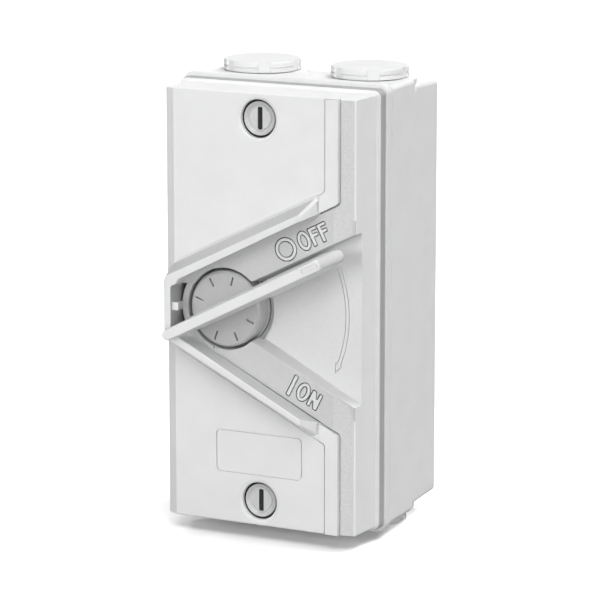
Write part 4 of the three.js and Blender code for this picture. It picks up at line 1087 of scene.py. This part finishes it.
# painted shade: the sloping tip's faces take the darker satin
at_tip = (x - knob_x) * math.cos(sweep) + z * math.sin(sweep) > 48.2
lever_blade.data.polygons.foreach_set("material_index", at_tip.astype(np.int32))
print(int(at_tip.sum()), "of the lever's faces are satin")

# %% [markdown]
# ## Cover screws
# Each cover screw is a shallow cup with a disc in it that runs out into a V, the point that
# shows how far the screw is turned, and a slot. A bump could fake them, but the light then
# passes over the slot from the side. So the head is turned, the disc is a slab, and the slot
# is cut through both. A black core in the slot and a black ring round the head, on the cover,
# are painted shade: they stand for the shade deep in those gaps, so that both read as deep
# gaps from any side.

# %% Cover screws
screw_profile = [(0, 2.4), (4.7, 2.4), (4.9, 2.3), (5.5, 1.4), (5.65, 1.22), (5.85, 1.15),
                 (6.05, 1.25), (6.15, 1.5), (6.15, 2.4), (6.9, 2.4), (6.9, 3.6), (3.0, 3.6),
                 (3.0, 24.6), (2.0, 26.0), (0, 26.0)]
t = np.radians(np.linspace(-58, 238, 60))[:, None]
pointer = np.concatenate([4.2 * np.concatenate([np.cos(t), np.sin(t)], 1), [(0.0, -4.9)]])
for word, up, body in (("top", 1, "upper_screw"), ("bottom", -1, "lower_screw")):
    z = up * screw_z
    head, disc = spun(screw_profile, 0, z), slab(pointer + (0, z), 1.85, 2.8, 0.22)
    slot_cut = slab(rectangle(0.98, 4.1, 0.5, 0, z, 4), 1.0, 3.3, -0.25, lead=1.0)
    screw = combine(f"lock_screw_{word}", head, add(disc), cut(slot_cut))
    keep(screw, screw_plastic, "handle_plastic", body, f"cover_screw_{word}")
    # painted shade: a black core that stands for the shade deep in the slot
    slot_shade = slab(rectangle(0.95, 4.07, 0.48, 0, z, 4), 2.1, 3.27, 0.1)
    keep(mesh_of(f"lock_slot_shade_{word}", slot_shade), gap_shade_black, "handle_plastic", body)
    # painted shade: a black ring on the cover that stands for the shade in the gap round the head
    ring = hoop(circle(6.97, 0, z), circle(6.18, 0, z), 1.85, 2.35)
    keep(mesh_of(f"well_gap_shade_{word}", ring), gap_shade_black, "seal_rubber", "cover")

# %% [markdown]
# ## Finishes for the pieces inside
# The switch module, its contacts and screws, the seals and the earth bar keep their CAD
# shape. They could be rebuilt with softer edges, but they show only when the cover is off.
# What they need is the finish of their real material, given by the start of their names.

# %% Finishes on the carried pieces
inside = {
    "cover_gasket": rubber, "knob_seal": rubber, "screw_seal": rubber, "plug_seal": rubber,
    "switch_housing": module_grey, "housing_screw": steel, "rotor": rotor_white,
    "bridge": copper, "contact": copper, "terminal_screw": steel, "detent": steel,
    "knob_clip": steel, "drive_shaft": steel, "handle_screw": steel, "screw_insert": brass,
    "earth_bar": brass, "earth_fixing_screw": steel, "earth_clamp_screw": steel,
}
dressed = 0
for name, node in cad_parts.items():
    finishes = [finish for start, finish in inside.items() if name.startswith(start)]
    if finishes:
        for holder in node.material_slots:
            holder.material = finishes[0]
        if not node.material_slots:
            node.data.materials.append(finishes[0])
        dressed += 1
print(dressed, "carried pieces dressed")

# %% [markdown]
# ## Floor
# The switch stands on a wide sheet of white paper. In the photograph only the close shadow
# shows on it, and all the rest is white. Stronger lamps would wash out the object, so the
# paper is brighter for the camera's own rays alone: half shade comes out white and the
# contact stays dark. Towards the object it throws back much less.

# %% Floor
def paper(name, white=1.8, bounce=0.28, glow=0.04):
    """White paper with a faint sheen: its colour is white for camera rays and bounce for
    all others, and it glows a little for camera rays."""
    material = bpy.data.materials.new(name)
    material.use_nodes = True
    nodes, links = material.node_tree.nodes, material.node_tree.links
    ray = nodes.new("ShaderNodeLightPath")
    shade = nodes.new("ShaderNodeMix")
    shade.data_type = "RGBA"
    shade.inputs["A"].default_value = (bounce, bounce, bounce, 1)
    shade.inputs["B"].default_value = (white, white, white, 1)
    links.new(ray.outputs["Is Camera Ray"], shade.inputs["Factor"])
    shader = nodes["Principled BSDF"]
    links.new(shade.outputs["Result"], shader.inputs["Base Color"])
    shader.inputs["Roughness"].default_value = 0.08
    lift = nodes.new("ShaderNodeMath")
    lift.operation = "MULTIPLY"
    lift.inputs[1].default_value = glow
    links.new(ray.outputs["Is Camera Ray"], lift.inputs[0])
    links.new(lift.outputs[0], shader.inputs["Emission Strength"])
    return material


half, ground = 6.0, -0.0852  # metres: half the sheet's side, and the foot of the plugs
points = [(-half, -half, ground), (half, -half, ground), (half, half, ground),
          (-half, half, ground)]
sheet = bpy.data.meshes.new("paper_sweep")
sheet.from_pydata(points, [], [(0, 1, 2, 3)])
sheet.materials.append(paper("white paper"))
floor = bpy.data.objects.new("paper_sweep", sheet)
bpy.context.scene.collection.objects.link(floor)
print("floor at z =", ground)

# %% [markdown]
# ## Light
# A photographer would put the switch in a tent with soft boxes round it. Here six suns stand
# for the boxes: a sun is as strong near as far, and a width of 30 to 40 degrees gives it the
# soft shadow of a box. Each was set so that the faces it reaches come out in the tones of
# the photograph: two from the left for the front's bevels, one from the right for the long
# side, two from above for the ends and the floor, and one from behind for the far edges.

# %% Lamps
def sun(name, strength, toward, degrees=40):
    """A distant lamp: toward points from the object to the light. The lamp's own z axis is
    turned that way, its x axis lies level, and its y axis is square to both."""
    lamp = bpy.data.lights.new(name, "SUN")
    lamp.energy = strength
    lamp.angle = math.radians(degrees)
    made = bpy.data.objects.new(name, lamp)
    bpy.context.scene.collection.objects.link(made)
    back = np.asarray(toward, float) / np.linalg.norm(toward)
    across = np.cross([0, 0, 1], back)
    across /= np.linalg.norm(across)
    turn = np.eye(4)
    turn[:3, :3] = np.stack([across, np.cross(back, across), back], 1)
    made.matrix_world = Matrix(turn.tolist())
    print(name, strength)
    return made


sun("left_light", 1.55, (-0.5, -0.86, 0.05))
sun("low_left_light", 0.5, (-0.434, -0.877, -0.209))
sun("right_light", 1.65, (0.75, -0.65, 0.1))
sun("high_front_light", 1.25, (0.25, -0.5, 0.83))
sun("high_back_light", 1.8, (0.36, 0.34, 0.87), 30)
back_light = sun("back_light", 3.6, (-0.3, 0.95, 0.04))
back_light.visible_glossy = False  # or the plugs' tops would mirror it

# %% [markdown]
# The world gives a trace of even light and is plain white wherever the camera looks straight
# at it or sees it mirrored or through something. Light Path tells these rays apart, so the
# white background adds nothing to the light on the object but its reflection.

# %% World
def either(nodes, links, first, second):
    """The larger of two yes-or-no outputs: yes if one of them is."""
    made = nodes.new("ShaderNodeMath")
    made.operation = "MAXIMUM"
    links.new(first, made.inputs[0])
    links.new(second, made.inputs[1])
    return made.outputs[0]


world = bpy.data.worlds.new("light_tent")
bpy.context.scene.world = world
world.use_nodes = True
nodes, links = world.node_tree.nodes, world.node_tree.links
nodes.clear()
fill = nodes.new("ShaderNodeBackground")
fill.inputs["Strength"].default_value = 0.02
seen = nodes.new("ShaderNodeBackground")
seen.inputs["Strength"].default_value = 1.0
path = nodes.new("ShaderNodeLightPath").outputs
looked_at = either(nodes, links, path["Is Camera Ray"], path["Is Glossy Ray"])
looked_at = either(nodes, links, looked_at, path["Is Transmission Ray"])
mix = nodes.new("ShaderNodeMixShader")
links.new(looked_at, mix.inputs[0])
links.new(fill.outputs[0], mix.inputs[1])
links.new(seen.outputs[0], mix.inputs[2])
links.new(mix.outputs[0], nodes.new("ShaderNodeOutputWorld").inputs["Surface"])
print(len(nodes), "nodes in the world")

# %% [markdown]
# ## Finish
# The standard view shows each colour as it is written.

# %% View
bpy.context.scene.view_settings.view_transform = "Standard"
bpy.context.view_layer.update()
